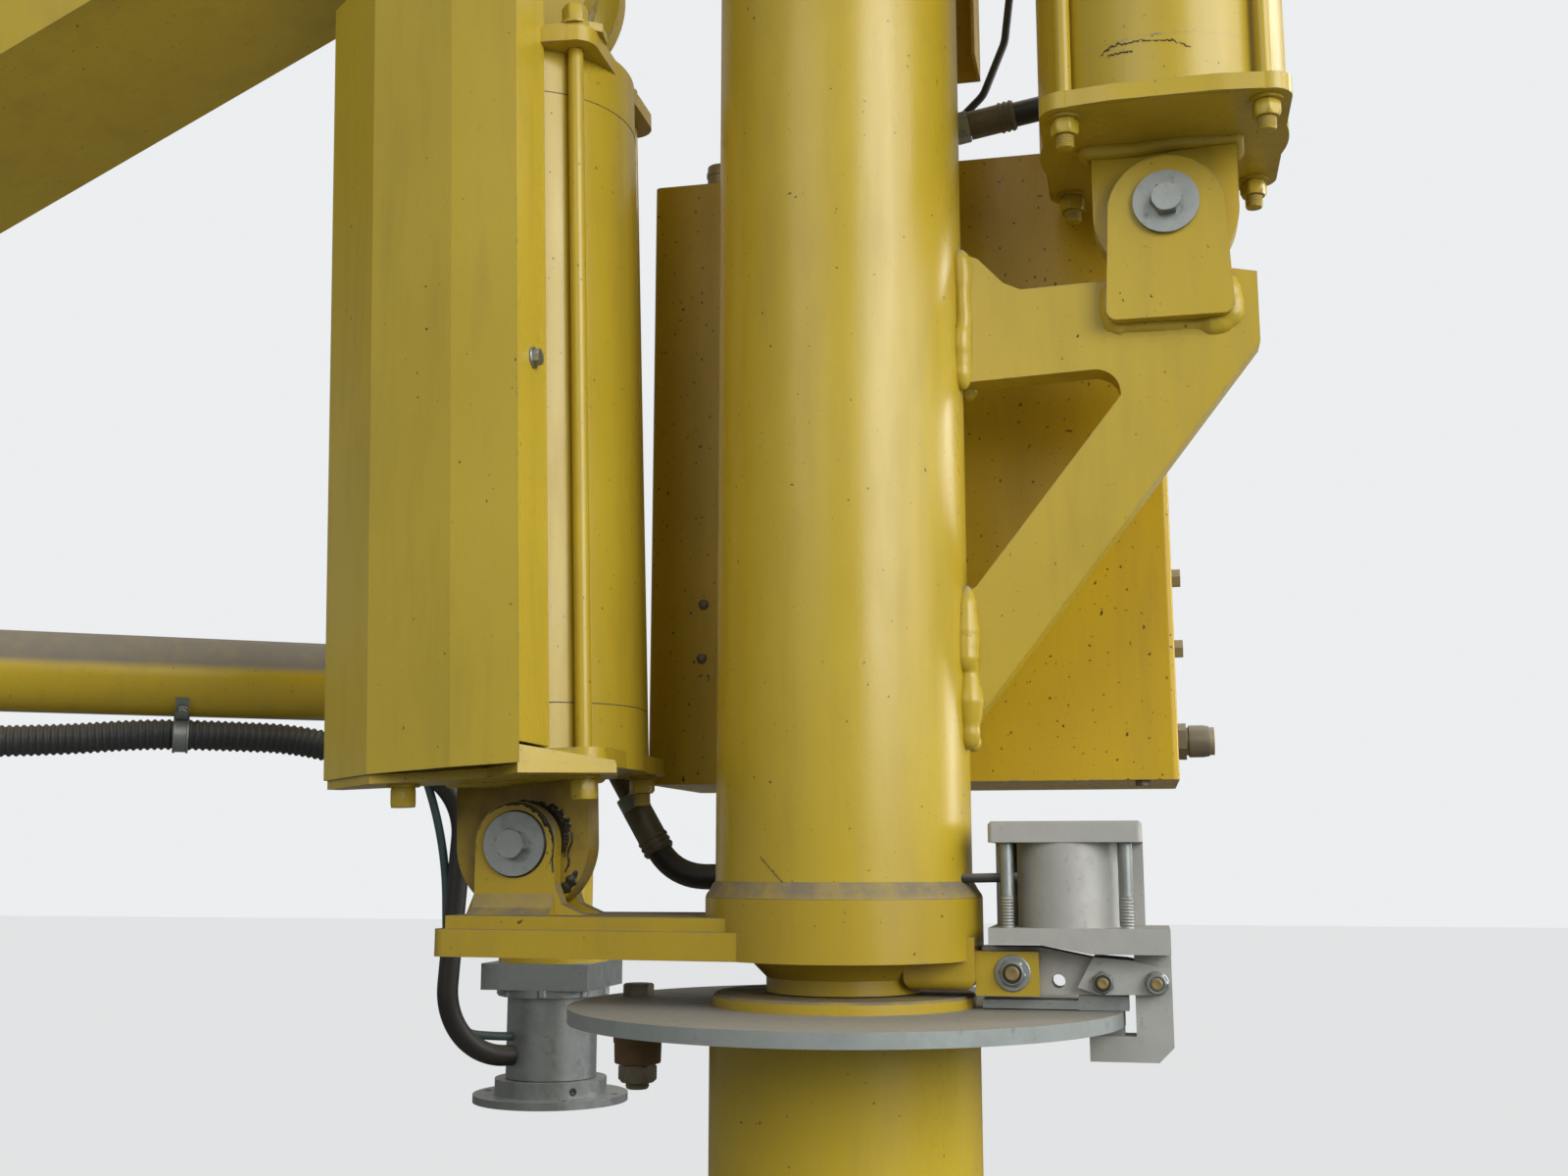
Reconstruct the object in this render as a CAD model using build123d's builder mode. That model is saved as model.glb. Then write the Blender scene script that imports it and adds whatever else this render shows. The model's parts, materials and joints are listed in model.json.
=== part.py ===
"""Pneumatic manipulator arm on a slewing column, in millimetres, +Z up.

The origin is the middle of the base plate's underside. +X runs from the column axis to the
rear lifting cylinder, -X to the front lifting cylinder and the main arm, and -Y to the side
that the brake and the cylinder bracket are seen from. The arm is drawn parked: main arm
lowered, forearm folded back behind the column.
"""
import os
from math import atan2, cos, degrees, hypot, radians, sin

from build123d import *

os.makedirs("parts", exist_ok=True)

# Running fits and seats
pin_clearance = 0.05
side_clearance = 1.0
slew_clearance = 0.05

# Base and fixed column
base_od = 600
base_thickness = 30
anchor_circle = 520
anchor_count = 8
anchor_hole = 26
column_od = 228
column_wall = 10
gusset_height = 180
gusset_reach = 120
gusset_thickness = 15
gusset_count = 8

# Brake disc, collar and slewing spindle
disc_bottom_z = 1370
disc_thickness = 12
disc_od = 465
collar_od = 222
collar_height = 10
spindle_od = 90
neck_od = 132
neck_chamfer = 16
stop_radius = 205
stop_angle = 165
stop_od = 44
stop_length = 29
stop_stud_od = 12
stop_stud_tail = 16

# Slewing base casting
swivel_bottom_z = 1421
swivel_plate = 23
swivel_step = 11
swivel_step_inset = 9
hub_od = 236
hub_height = 50
base_arm_reach = 345
base_arm_end_width = 144
base_arm_root_width = 200
tab_left = 115
tab_right = 166
tab_bottom_z = 1394
tab_top_z = 1429
tab_thickness = 15
lump_width = 72
lump_bottom_z = 1398
lump_top_z = 1440
lump_round = 9

# Mast tube and head
mast_od = 219.1
mast_wall = 8
mast_top_z = 2545
head_plate = 25
head_width = 300
cheek_thickness = 20
cheek_foot_width = 240
cheek_top_radius = 62
pivot_z = 2780
main_pin_od = 50
tie_pin_od = 30
tie_rise = 180

# Pneumatic cylinders: both have one bore and one set of end plates
foot_pin_od = 30
lug_half_width = 62
lug_flat = 50
lug_thickness = 28
cylinder_plate = 206
cylinder_plate_thickness = 15
cylinder_plate_offset = 61
cap_height = 40
cylinder_bore = 200
piston_thickness = 40
tube_od = 214
tie_rod_spacing = 164
tie_rod_od = 14
rod_od = 45
eye_radius = 68
eye_hole = 90
eye_thickness = 50
eye_pin_od = 30

# Front (left) cylinder
left_pin_x = -287
left_pin_z = 1516
left_lean = 1.93
left_barrel_length = 666
left_rod_reach = 102.5

# Rear (right) cylinder
right_pin_x = 290
right_pin_z = 2058.7
right_barrel_length = 540
right_rod_reach = 346.9

# Height of each piston over its foot pin as drawn
left_piston_level = 125
right_piston_level = 500

# Ears that hold the cylinder feet
ear_thickness = 16
left_ear_radius = 37
ear_flare_height = 18
ear_flare_reach = 14
right_ear_radius = 49
right_ear_top = 43
right_ear_foot_z = 1957
right_ear_foot_width = 107

# Bracket of the rear cylinder
bracket_thickness = 30
bracket_foot_z = 1606
bracket_window_round = 22
# Outline and window of the plate: distance out from the mast's side, height over its foot
bracket_outline = [
    (-10, 442), (8, 425), (17, 421), (39, 397), (54, 390), (235, 395), (254, 391), (254, 329), (11, 16),
    (2, 0), (-10, 0),
]
bracket_window = [(-10, 308), (137, 314), (137, 289), (10, 127), (-10, 116)]

# Main arm, a box beam
arm_slope = 25.3
beam_width = 228
beam_height = 220
beam_wall = 6
arm_length = 1648
beam_tail = 150
beam_nose = 60
arm_ear_radius = 91
arm_ear_flat = 75
arm_ear_thickness = 18
tail_eye_radius = 75

# Tie bar of the parallelogram
tie_bar_od = 42
tie_eye_radius = 38
tie_eye_width = 30

# Elbow
elbow_offset = 210
elbow_gap = 5
elbow_cheek = 16
elbow_web = 18
bearing_od = 140
bearing_bore = 70
bearing_bottom_z = 1812
bearing_height = 480

# Forearm and tool
forearm_z = 1735
forearm_od = 101.6
forearm_wall = 5
forearm_length = 1382
forearm_heading = 32.3
forearm_head_height = 130
drop_bottom_z = 1369
drop_bend = 120
drop_flange = 147
drop_flange_thickness = 12
tool_block_height = 34
joint_ring_od = 146
joint_ring_height = 10
joint_neck_od = 120
joint_neck_height = 106
spigot_od = 60
spigot_length = 90
tool_collar_od = 148
tool_collar_height = 20
tool_flange_od = 205
tool_flange_thickness = 10
tool_bolt_circle = 176
tool_bolt_hole = 11

# Control box behind the mast
box_left = -215
box_right = 286
box_bottom_z = 1574
box_top_z = 2184
box_front_y = 125
box_depth = 200
box_sheet = 3

# Duct behind the mast
duct_right = 117
duct_width = 120
duct_bottom_z = 2286
duct_height = 240
duct_depth = 60
duct_sheet = 3
duct_seat = 4

# Guard of the front cylinder: folded sheet, bend points from the barrel axis
guard_sheet = 3
guard_plate = 8
guard_rise = 15
guard_points = [(54, -97), (54, -162), (-8, -148), (-99, -112), (-165, -60), (-165, 30), (-114, 30)]
# Its two holder plates: shared left end, then the lower one's and the upper one's free edges
holder_left = [(-120, -45), (-158, -45)]
holder_lower = [(-70, -107), (10, -117), (54, -162), (118, -104), (104, -60)]
holder_upper = [(-8, -148), (54, -162), (54, -97), (98, -90), (108, -82), (105, -60)]
wedge_height = 15
wedge_drop = 13

# Hoses and their fittings: diameters, bends, and the points that each one was led through
hose_od = 24
hose_bend = 40
ferrule_od = 28
ferrule_length = 46
fitting_od = 20
fitting_bend = 14
left_port = [(-256, 88, 1604), (-256, 124, 1604)]
left_ferrule_end = (-201, 124, 1510)
left_hose_route = [(-187.25, 124, 1486.5), (-120, 124, 1486.5), (-50, 185, 1490), (-50, 185, 1574)]
right_port = [(80, 150, 2184), (80, 150, 2227)]
right_ferrule_end = (152, 150, 2239)
right_hose_route = [(236, 150, 2253), (325, 150, 2253), (325, 150, 2156), (325, 108, 2156)]
air_line_od = 8
air_line_bend = 30
air_line_route = [
    (76, 172, 2184), (76, 172, 2232), (119, 172, 2274), (142, 172, 2330), (160, 140, 2440), (117, 140, 2440)
]
conduit_od = 54
conduit_bend = 400
conduit_gap = 3.6
conduit_start = 190
conduit_clips = [330, 892]
conduit_sag = 20
conduit_bend_at = 960
conduit_end = 1150
conduit_drop = 27
clip_width = 16
clip_sheet = 2
clip_gap = 0.9
tool_hose_od = 27
tool_hose_bend = 90
tool_hose_side = 50
tool_hose_back = 154
tool_hose_rise = 31

# Brake caliper, seen from the side: X and Z of its pieces
brake_y = -10
brake_left = 127
brake_right = 270
brake_depth = 84
brake_plate_top_z = 1448
brake_plate_bottom_z = 1428
brake_plate_thin = 13
brake_plate_thin_right = 168
brake_plate_slope = 40
brake_bore_od = 82
brake_barrel_height = 68
brake_cap = 17
brake_cap_left = 128
brake_cap_right = 251
brake_stud_od = 10
brake_stud_spacing = 95
brake_back_thickness = 8
brake_frame_thickness = 32
brake_frame_left = 241
brake_foot_left = 204
brake_foot_bottom_z = 1343
brake_foot_thickness = 20
brake_foot_chamfer = 12
brake_pad_gap = 0.5
brake_pad_length = 40
brake_pad_lead = 8
brake_pad_width = 28
brake_pivot_x = 145
brake_pivot_z = 1412
brake_pin_od = 12
brake_pin_tail = 7
link_left_x = 216
link_right_x = 258
link_z = 1405
link_thickness = 7
lever_thickness = 28
lever_top_z = 1432
lever_bottom_z = 1394.5
lever_hole = 11
slide_bar_left = 119
slide_bar_thickness = 7

# Derived places
disc_top_z = disc_bottom_z + disc_thickness
collar_top_z = disc_top_z + collar_height
neck_bottom_z = collar_top_z + side_clearance
swivel_top_z = swivel_bottom_z + swivel_plate + swivel_step
hub_top_z = swivel_bottom_z + hub_height
beam_ux = -cos(radians(arm_slope))
beam_uz = -sin(radians(arm_slope))
elbow_x = arm_length * beam_ux
elbow_z = pivot_z + arm_length * beam_uz
forearm_axis_x = elbow_x - elbow_offset
tie_z = pivot_z + tie_rise
left_axis = Plane(
    origin=(left_pin_x, 0, left_pin_z),
    x_dir=(cos(radians(left_lean)), 0, sin(radians(left_lean))),
    z_dir=(-sin(radians(left_lean)), 0, cos(radians(left_lean))),
)
right_axis = Plane(origin=(right_pin_x, 0, right_pin_z), x_dir=(1, 0, 0), z_dir=(0, 0, 1))
left_eye_distance = cylinder_plate_offset + left_barrel_length + left_rod_reach
right_eye_distance = cylinder_plate_offset + right_barrel_length + right_rod_reach
left_eye = left_axis.from_local_coords((0, 0, left_eye_distance))
right_eye_z = right_pin_z + right_eye_distance
beam_plane = Plane(origin=(0, 0, pivot_z), x_dir=(beam_ux, 0, beam_uz), z_dir=(0, 1, 0))
print("left eye", left_eye.X, left_eye.Z, "elbow", elbow_x, elbow_z)


def keep(piece, name):
    """Labels a finished piece and writes its STEP file."""
    piece.label = name
    export_step(piece, f"parts/{name}.step")
    print(name, round(piece.volume / 1e6, 3), "dm3")


def across_y(y_front):
    """A sketch plane across Y: sketch x is X, sketch y is Z, and +extrude runs towards -Y."""
    return Plane.XZ.offset(-y_front)


# Base plate with its anchor holes and the pilot for the column tube
with BuildPart() as base_plate:
    with BuildSketch(Plane.XY):
        Circle(base_od / 2)
        with PolarLocations(anchor_circle / 2, anchor_count):
            Circle(anchor_hole / 2, mode=Mode.SUBTRACT)
    extrude(amount=base_thickness)
keep(base_plate.part, "base_plate")

with BuildPart() as base_gussets:
    for turn in range(gusset_count):
        angle = 360 / gusset_count * (turn + 0.5)
        side = Plane.XZ.rotated((0, 0, angle))
        with BuildSketch(side):
            with BuildLine():
                Polyline(
                    (column_od / 2 + 0.5, base_thickness),
                    (column_od / 2 + gusset_reach, base_thickness),
                    (column_od / 2 + gusset_reach, base_thickness + 25),
                    (column_od / 2 + 25, base_thickness + gusset_height),
                    (column_od / 2 + 0.5, base_thickness + gusset_height),
                    close=True,
                )
            make_face()
        extrude(amount=gusset_thickness / 2, both=True)
keep(base_gussets.part, "base_gussets")

with BuildPart() as column_tube:
    with BuildSketch(Plane.XY.offset(base_thickness)):
        Circle(column_od / 2)
        Circle(column_od / 2 - column_wall, mode=Mode.SUBTRACT)
    extrude(amount=disc_bottom_z - base_thickness)
keep(column_tube.part, "column_tube")

with BuildPart() as brake_disc:
    with BuildSketch(Plane.XY.offset(disc_bottom_z)):
        Circle(disc_od / 2)
        with PolarLocations(stop_radius, 1, start_angle=stop_angle):
            Circle(stop_stud_od / 2, mode=Mode.SUBTRACT)
    extrude(amount=disc_thickness)
keep(brake_disc.part, "brake_disc")

with BuildPart() as slew_spindle:
    with BuildSketch(Plane.XY.offset(disc_top_z)):
        Circle(collar_od / 2)
    extrude(amount=collar_height)
    chamfer(slew_spindle.faces().sort_by(Axis.Z)[-1].edges(), 2)
    with BuildSketch(Plane.XY.offset(collar_top_z)):
        Circle(spindle_od / 2)
    extrude(amount=hub_top_z - collar_top_z)
keep(slew_spindle.part, "slew_spindle")

with BuildPart() as stop_buffer:
    stop_plane = Plane(
        origin=(
            stop_radius * cos(radians(stop_angle)),
            stop_radius * sin(radians(stop_angle)),
            disc_bottom_z,
        )
    )
    with BuildSketch(stop_plane.offset(-stop_length)):
        Circle(stop_od / 2)
    extrude(amount=stop_length, taper=-1.5)
    with BuildSketch(stop_plane.offset(-stop_length)):
        RegularPolygon(10.5, 6)
    extrude(amount=-12)
    with BuildSketch(stop_plane.offset(-stop_length - stop_stud_tail)):
        Circle(stop_stud_od / 2)
    extrude(amount=stop_stud_tail)
    with BuildSketch(stop_plane):
        Circle(stop_stud_od / 2 - 0.3)
    extrude(amount=disc_thickness)
    with BuildSketch(stop_plane.offset(disc_thickness)):
        RegularPolygon(10.5, 6)
    extrude(amount=8)
keep(stop_buffer.part, "stop_buffer")

# Slewing base: hub, arm for the front cylinder, neck and the fork for the brake lever
with BuildPart() as swivel_base:
    with BuildSketch(Plane.XY.offset(swivel_bottom_z)):
        with BuildLine():
            Polyline(
                (-base_arm_reach, -base_arm_end_width / 2),
                (0, -base_arm_root_width / 2),
                (0, base_arm_root_width / 2),
                (-base_arm_reach, base_arm_end_width / 2),
                close=True,
            )
        make_face()
        Circle(hub_od / 2)
    extrude(amount=swivel_plate)
    fillet(swivel_base.edges().filter_by(Axis.Z).group_by(Axis.X)[0], 12)
    with BuildSketch(Plane.XY.offset(swivel_bottom_z + swivel_plate)):
        with BuildLine():
            Polyline(
                (-base_arm_reach + swivel_step_inset, -base_arm_end_width / 2 + swivel_step_inset),
                (0, -base_arm_root_width / 2 + swivel_step_inset),
                (0, base_arm_root_width / 2 - swivel_step_inset),
                (-base_arm_reach + swivel_step_inset, base_arm_end_width / 2 - swivel_step_inset),
                close=True,
            )
        make_face()
    extrude(amount=swivel_step)
    with BuildSketch(Plane.XY.offset(swivel_bottom_z)):
        Circle(hub_od / 2)
    extrude(amount=hub_height)
    with BuildSketch(Plane.XY.offset(neck_bottom_z)):
        Circle(neck_od / 2)
    extrude(amount=swivel_bottom_z - neck_bottom_z)
    with BuildSketch(Plane.XY.offset(swivel_bottom_z)):
        Circle(neck_od / 2 + neck_chamfer)
    extrude(amount=-neck_chamfer, taper=45)
    for y_front in (
        brake_y - lever_thickness / 2 - side_clearance,
        brake_y + lever_thickness / 2 + side_clearance + tab_thickness,
    ):
        with BuildSketch(across_y(y_front)):
            with Locations(((tab_left + tab_right) / 2, (tab_bottom_z + tab_top_z) / 2)):
                Rectangle(tab_right - tab_left, tab_top_z - tab_bottom_z)
            with Locations((brake_pivot_x, brake_pivot_z)):
                Circle(brake_pin_od / 2 + pin_clearance, mode=Mode.SUBTRACT)
        extrude(amount=tab_thickness)
    with BuildPart(mode=Mode.PRIVATE) as lump:
        with BuildSketch(Plane.XY.offset(lump_bottom_z)):
            with Locations(((neck_od / 2 - lump_round + tab_left) / 2, brake_y)):
                Rectangle(tab_left - neck_od / 2 + lump_round, lump_width)
        extrude(amount=lump_top_z - lump_bottom_z)
        fillet(lump.faces().sort_by(Axis.Z)[0].edges(), lump_round)
    add(lump.part)
    with Locations((0, 0, neck_bottom_z)):
        Cylinder(
            spindle_od / 2 + slew_clearance,
            hub_top_z - neck_bottom_z,
            align=(Align.CENTER, Align.CENTER, Align.MIN),
            mode=Mode.SUBTRACT,
        )
keep(swivel_base.part, "swivel_base")

with BuildPart() as left_foot_ears:
    for y_front in (-lug_thickness / 2 - side_clearance, lug_thickness / 2 + side_clearance + ear_thickness):
        with BuildSketch(across_y(y_front)):
            with BuildLine():
                foot_z = swivel_top_z
                top = left_pin_z
                ear_left, ear_right = left_pin_x - left_ear_radius, left_pin_x + left_ear_radius
                Polyline(
                    (ear_left, top),
                    (ear_left, foot_z + ear_flare_height),
                    (ear_left - ear_flare_reach / 2, foot_z),
                    (ear_right + 2 * ear_flare_reach, foot_z),
                    (ear_right + ear_flare_reach / 2, foot_z + ear_flare_height / 2),
                    (ear_right, foot_z + 1.5 * ear_flare_height),
                    (ear_right, top),
                )
                ThreePointArc((ear_left, top), (left_pin_x, top + left_ear_radius), (ear_right, top))
            make_face()
            with Locations((left_pin_x, left_pin_z)):
                Circle(foot_pin_od / 2, mode=Mode.SUBTRACT)
        extrude(amount=ear_thickness)
    for side in (-1, 1):
        ear_face = side * (lug_thickness / 2 + side_clearance + ear_thickness)
        with BuildSketch(Plane.YZ.offset(ear_left)):
            with BuildLine():
                Polyline(
                    (ear_face, foot_z),
                    (ear_face + side * ear_flare_reach, foot_z),
                    (ear_face + side * ear_flare_reach / 3, foot_z + ear_flare_height / 3),
                    (ear_face, foot_z + ear_flare_height),
                    close=True,
                )
            make_face()
        extrude(amount=2 * left_ear_radius)
keep(left_foot_ears.part, "left_foot_ears")

with BuildPart() as mast_tube:
    with BuildSketch(Plane.XY.offset(hub_top_z)):
        Circle(mast_od / 2)
        Circle(mast_od / 2 - mast_wall, mode=Mode.SUBTRACT)
    extrude(amount=mast_top_z - hub_top_z)
keep(mast_tube.part, "mast_tube")

# Bracket of the rear cylinder: one thick plate, cut out to a triangle, seated on the mast tube
mast_side_x = mast_od / 2
with BuildPart() as cylinder_bracket:
    with BuildSketch(across_y(bracket_thickness / 2)):
        with BuildLine():
            Polyline(
                *[(mast_side_x + out, bracket_foot_z + up) for out, up in bracket_outline], close=True
            )
        make_face()
        with BuildLine():
            Polyline(
                *[(mast_side_x + out, bracket_foot_z + up) for out, up in bracket_window], close=True
            )
        make_face(mode=Mode.SUBTRACT)
    extrude(amount=bracket_thickness)
    window_out, window_up = bracket_window[1]
    window_corner = (mast_side_x + window_out, 0, bracket_foot_z + window_up)
    fillet(
        cylinder_bracket.edges().filter_by(Axis.Y).sort_by_distance(window_corner)[0],
        bracket_window_round,
    )
    with Locations((0, 0, bracket_foot_z)):
        Cylinder(
            mast_od / 2,
            2 * bracket_outline[0][1],
            align=(Align.CENTER, Align.CENTER, Align.MIN),
            mode=Mode.SUBTRACT,
        )
keep(cylinder_bracket.part, "cylinder_bracket")

with BuildPart() as bracket_ears:
    for y_front in (-bracket_thickness / 2, bracket_thickness / 2 + ear_thickness):
        with BuildSketch(across_y(y_front)):
            with BuildLine():
                half_foot = right_ear_foot_width / 2
                Polyline(
                    (right_pin_x - right_ear_radius, right_pin_z),
                    (right_pin_x - half_foot, right_ear_foot_z),
                    (right_pin_x + half_foot, right_ear_foot_z),
                    (right_pin_x + right_ear_radius, right_pin_z),
                )
                ThreePointArc(
                    (right_pin_x - right_ear_radius, right_pin_z),
                    (right_pin_x, right_pin_z + right_ear_top),
                    (right_pin_x + right_ear_radius, right_pin_z),
                )
            make_face()
            with Locations((right_pin_x, right_pin_z)):
                Circle(foot_pin_od / 2, mode=Mode.SUBTRACT)
        extrude(amount=ear_thickness)
    fillet(bracket_ears.edges().filter_by(Axis.Y).group_by(Axis.Z)[0], 9)
keep(bracket_ears.part, "bracket_ears")

with BuildPart() as foot_pins:
    for pin_x, pin_z, half in (
        (left_pin_x, left_pin_z, lug_thickness / 2 + side_clearance + ear_thickness),
        (right_pin_x, right_pin_z, bracket_thickness / 2 + ear_thickness),
    ):
        with BuildSketch(Plane(origin=(pin_x, 0, pin_z), x_dir=(1, 0, 0), z_dir=(0, -1, 0))):
            Circle(foot_pin_od / 2)
        extrude(amount=half, both=True)
        for face_y in (-half, half):
            direction = -1 if face_y < 0 else 1
            with BuildSketch(Plane(origin=(pin_x, face_y, pin_z), x_dir=(1, 0, 0), z_dir=(0, direction, 0))):
                Circle(28)
            extrude(amount=4)
keep(foot_pins.part, "foot_pins")

with BuildPart() as control_box:
    with BuildSketch(Plane.XY.offset(box_bottom_z)):
        with Locations(((box_left + box_right) / 2, box_front_y + box_depth / 2)):
            RectangleRounded(box_right - box_left, box_depth, 6)
    extrude(amount=box_top_z - box_bottom_z)
    with BuildSketch(Plane.XY.offset(box_bottom_z + box_sheet)):
        with Locations(((box_left + box_right) / 2, box_front_y + box_depth / 2)):
            Rectangle(box_right - box_left - 2 * box_sheet, box_depth - 2 * box_sheet)
    extrude(amount=box_top_z - box_bottom_z - 2 * box_sheet, mode=Mode.SUBTRACT)
keep(control_box.part, "control_box")

with BuildPart() as box_brackets:
    for bar_z in (box_bottom_z + 90, box_top_z - 130):
        with BuildSketch(Plane.XY.offset(bar_z)):
            with Locations((0, (mast_od / 2 + box_front_y) / 2)):
                Rectangle(160, box_front_y - mast_od / 2 + 40)
            with Locations((0, box_front_y + 50)):
                Rectangle(200, 100, mode=Mode.SUBTRACT)
            Circle(mast_od / 2, mode=Mode.SUBTRACT)
        extrude(amount=40)
keep(box_brackets.part, "box_brackets")

with BuildPart() as box_fittings:
    with BuildSketch(Plane.XY.offset(box_top_z)):
        with Locations((-160, box_front_y + 60)):
            Circle(15)
    extrude(amount=42)
    for cap_z in (1768, 1700):
        with BuildSketch(Plane.YZ.offset(box_right)):
            with Locations((box_front_y + 60, cap_z)):
                RegularPolygon(9, 6)
        extrude(amount=9)
    with BuildSketch(Plane.YZ.offset(box_right)):
        with Locations((box_front_y + 60, 1612)):
            Circle(13)
    extrude(amount=34)
keep(box_fittings.part, "box_fittings")

with BuildPart() as mast_duct:
    with BuildSketch(Plane.XY.offset(duct_bottom_z)):
        with Locations((duct_right - duct_width / 2, 0)):
            with Locations((0, mast_od / 2 + duct_depth / 2 - duct_seat)):
                Rectangle(duct_width, duct_depth)
            with Locations((0, mast_od / 2 + duct_depth / 2 - duct_seat - duct_sheet)):
                Rectangle(duct_width - 2 * duct_sheet, duct_depth, mode=Mode.SUBTRACT)
        Circle(mast_od / 2, mode=Mode.SUBTRACT)
    extrude(amount=duct_height)
keep(mast_duct.part, "mast_duct")

# Head of the mast: plate and two cheeks that take the main pivot between them
cheek_inner = beam_width / 2 + elbow_gap
with BuildPart() as mast_head:
    with BuildSketch(Plane.XY.offset(mast_top_z)):
        RectangleRounded(cheek_foot_width, head_width, 20)
    extrude(amount=head_plate)
    for y_front in (-cheek_inner, cheek_inner + cheek_thickness):
        with BuildSketch(across_y(y_front)):
            with BuildLine():
                Polyline(
                    (-cheek_foot_width / 2, mast_top_z + head_plate),
                    (cheek_foot_width / 2, mast_top_z + head_plate),
                    (cheek_top_radius, tie_z),
                )
                ThreePointArc(
                    (cheek_top_radius, tie_z), (0, tie_z + cheek_top_radius), (-cheek_top_radius, tie_z)
                )
                Line((-cheek_top_radius, tie_z), (-cheek_foot_width / 2, mast_top_z + head_plate))
            make_face()
            with Locations((0, pivot_z)):
                Circle(main_pin_od / 2, mode=Mode.SUBTRACT)
            with Locations((0, tie_z)):
                Circle(tie_pin_od / 2, mode=Mode.SUBTRACT)
        extrude(amount=cheek_thickness)
keep(mast_head.part, "mast_head")

cheek_outer = cheek_inner + cheek_thickness
with BuildPart() as head_pins:
    for pin_z, pin_od in ((pivot_z, main_pin_od), (tie_z, tie_pin_od)):
        with BuildSketch(Plane(origin=(0, 0, pin_z), x_dir=(1, 0, 0), z_dir=(0, -1, 0))):
            Circle(pin_od / 2)
        extrude(amount=cheek_outer, both=True)
        for direction in (-1, 1):
            with BuildSketch(
                Plane(origin=(0, direction * cheek_outer, pin_z), x_dir=(1, 0, 0), z_dir=(0, direction, 0))
            ):
                Circle(pin_od / 2 + 12)
            extrude(amount=6)
keep(head_pins.part, "head_pins")

# Brake: frame, air cylinder, lever, links and pads
with BuildPart() as brake_frame:
    with BuildSketch(across_y(brake_y + brake_depth / 2)):
        with BuildLine():
            Polyline(
                (brake_left, brake_plate_top_z - brake_plate_thin),
                (brake_plate_thin_right, brake_plate_top_z - brake_plate_thin),
                (brake_plate_thin_right + brake_plate_slope, brake_plate_bottom_z),
                (brake_right, brake_plate_bottom_z),
                (brake_right, brake_plate_top_z),
                (brake_left, brake_plate_top_z),
                close=True,
            )
        make_face()
    extrude(amount=brake_depth)
    brake_foot_top_z = brake_foot_bottom_z + brake_foot_thickness
    with BuildSketch(across_y(brake_y + brake_frame_thickness / 2)):
        with BuildLine():
            Polyline(
                (brake_frame_left, brake_plate_bottom_z),
                (brake_frame_left, brake_foot_top_z),
                (brake_foot_left, brake_foot_top_z),
                (brake_foot_left, brake_foot_bottom_z),
                (brake_right - brake_foot_chamfer, brake_foot_bottom_z),
                (brake_right, brake_foot_bottom_z + brake_foot_chamfer),
                (brake_right, brake_plate_bottom_z),
                close=True,
            )
        make_face()
        with Locations((link_right_x, link_z)):
            Circle(brake_pin_od / 2, mode=Mode.SUBTRACT)
    extrude(amount=brake_frame_thickness)
keep(brake_frame.part, "brake_frame")

brake_centre_x = (brake_cap_left + brake_cap_right) / 2
brake_cap_z = brake_plate_top_z + brake_barrel_height
with BuildPart() as brake_cylinder:
    with BuildSketch(Plane.XY.offset(brake_plate_top_z)):
        with Locations((brake_centre_x, brake_y)):
            Circle(brake_bore_od / 2)
    extrude(amount=brake_barrel_height)
    with BuildSketch(Plane.XY.offset(brake_cap_z)):
        with Locations((brake_centre_x, brake_y)):
            RectangleRounded(brake_cap_right - brake_cap_left, brake_depth, 4)
    extrude(amount=brake_cap)
    chamfer(brake_cylinder.faces().sort_by(Axis.Z)[-1].edges(), 2.5)
    with BuildSketch(Plane.XY.offset(brake_plate_top_z)):
        with Locations((brake_centre_x, brake_y)):
            with GridLocations(brake_stud_spacing, brake_depth - 2.4 * brake_stud_od, 2, 2):
                Circle(brake_stud_od / 2)
        with Locations((brake_centre_x, brake_y + brake_depth / 2 - brake_back_thickness / 2)):
            Rectangle(brake_cap_right - brake_cap_left, brake_back_thickness)
    extrude(amount=brake_barrel_height)
keep(brake_cylinder.part, "brake_cylinder")

with BuildPart() as brake_lever:
    with BuildSketch(across_y(brake_y + lever_thickness / 2)):
        with BuildLine():
            Polyline(
                (slide_bar_left, lever_top_z),
                (brake_plate_thin_right - 2, lever_top_z),
                (link_left_x - 9, link_z + 19),
                (link_left_x + 8, link_z + 16),
                (link_left_x + 12, link_z),
                (link_left_x + 4, lever_bottom_z),
                (slide_bar_left + 8, lever_bottom_z),
                (slide_bar_left, lever_bottom_z + 8),
                close=True,
            )
        make_face()
        with Locations((brake_pivot_x, brake_pivot_z), (link_left_x, link_z)):
            Circle(brake_pin_od / 2, mode=Mode.SUBTRACT)
        with Locations(((brake_pivot_x + link_left_x) / 2, link_z)):
            Circle(lever_hole / 2, mode=Mode.SUBTRACT)
    extrude(amount=lever_thickness)
keep(brake_lever.part, "brake_lever")

with BuildPart() as brake_links:
    link_gap = brake_frame_thickness / 2 + 0.5
    for y_front in (brake_y - link_gap, brake_y + link_gap + link_thickness):
        with BuildSketch(across_y(y_front)):
            with BuildLine():
                Polyline(
                    (link_left_x - 7, link_z + 20),
                    (link_left_x + 20, link_z + 18),
                    (link_right_x + 8, link_z + 12),
                    (link_right_x + 10, link_z),
                    (link_right_x + 1, link_z - 9),
                    (link_left_x - 3, link_z - 9.5),
                    (link_left_x - 20, link_z - 4),
                    close=True,
                )
            make_face()
            with Locations((link_left_x, link_z), (link_right_x, link_z)):
                Circle(brake_pin_od / 2, mode=Mode.SUBTRACT)
        extrude(amount=link_thickness)
keep(brake_links.part, "brake_links")

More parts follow.
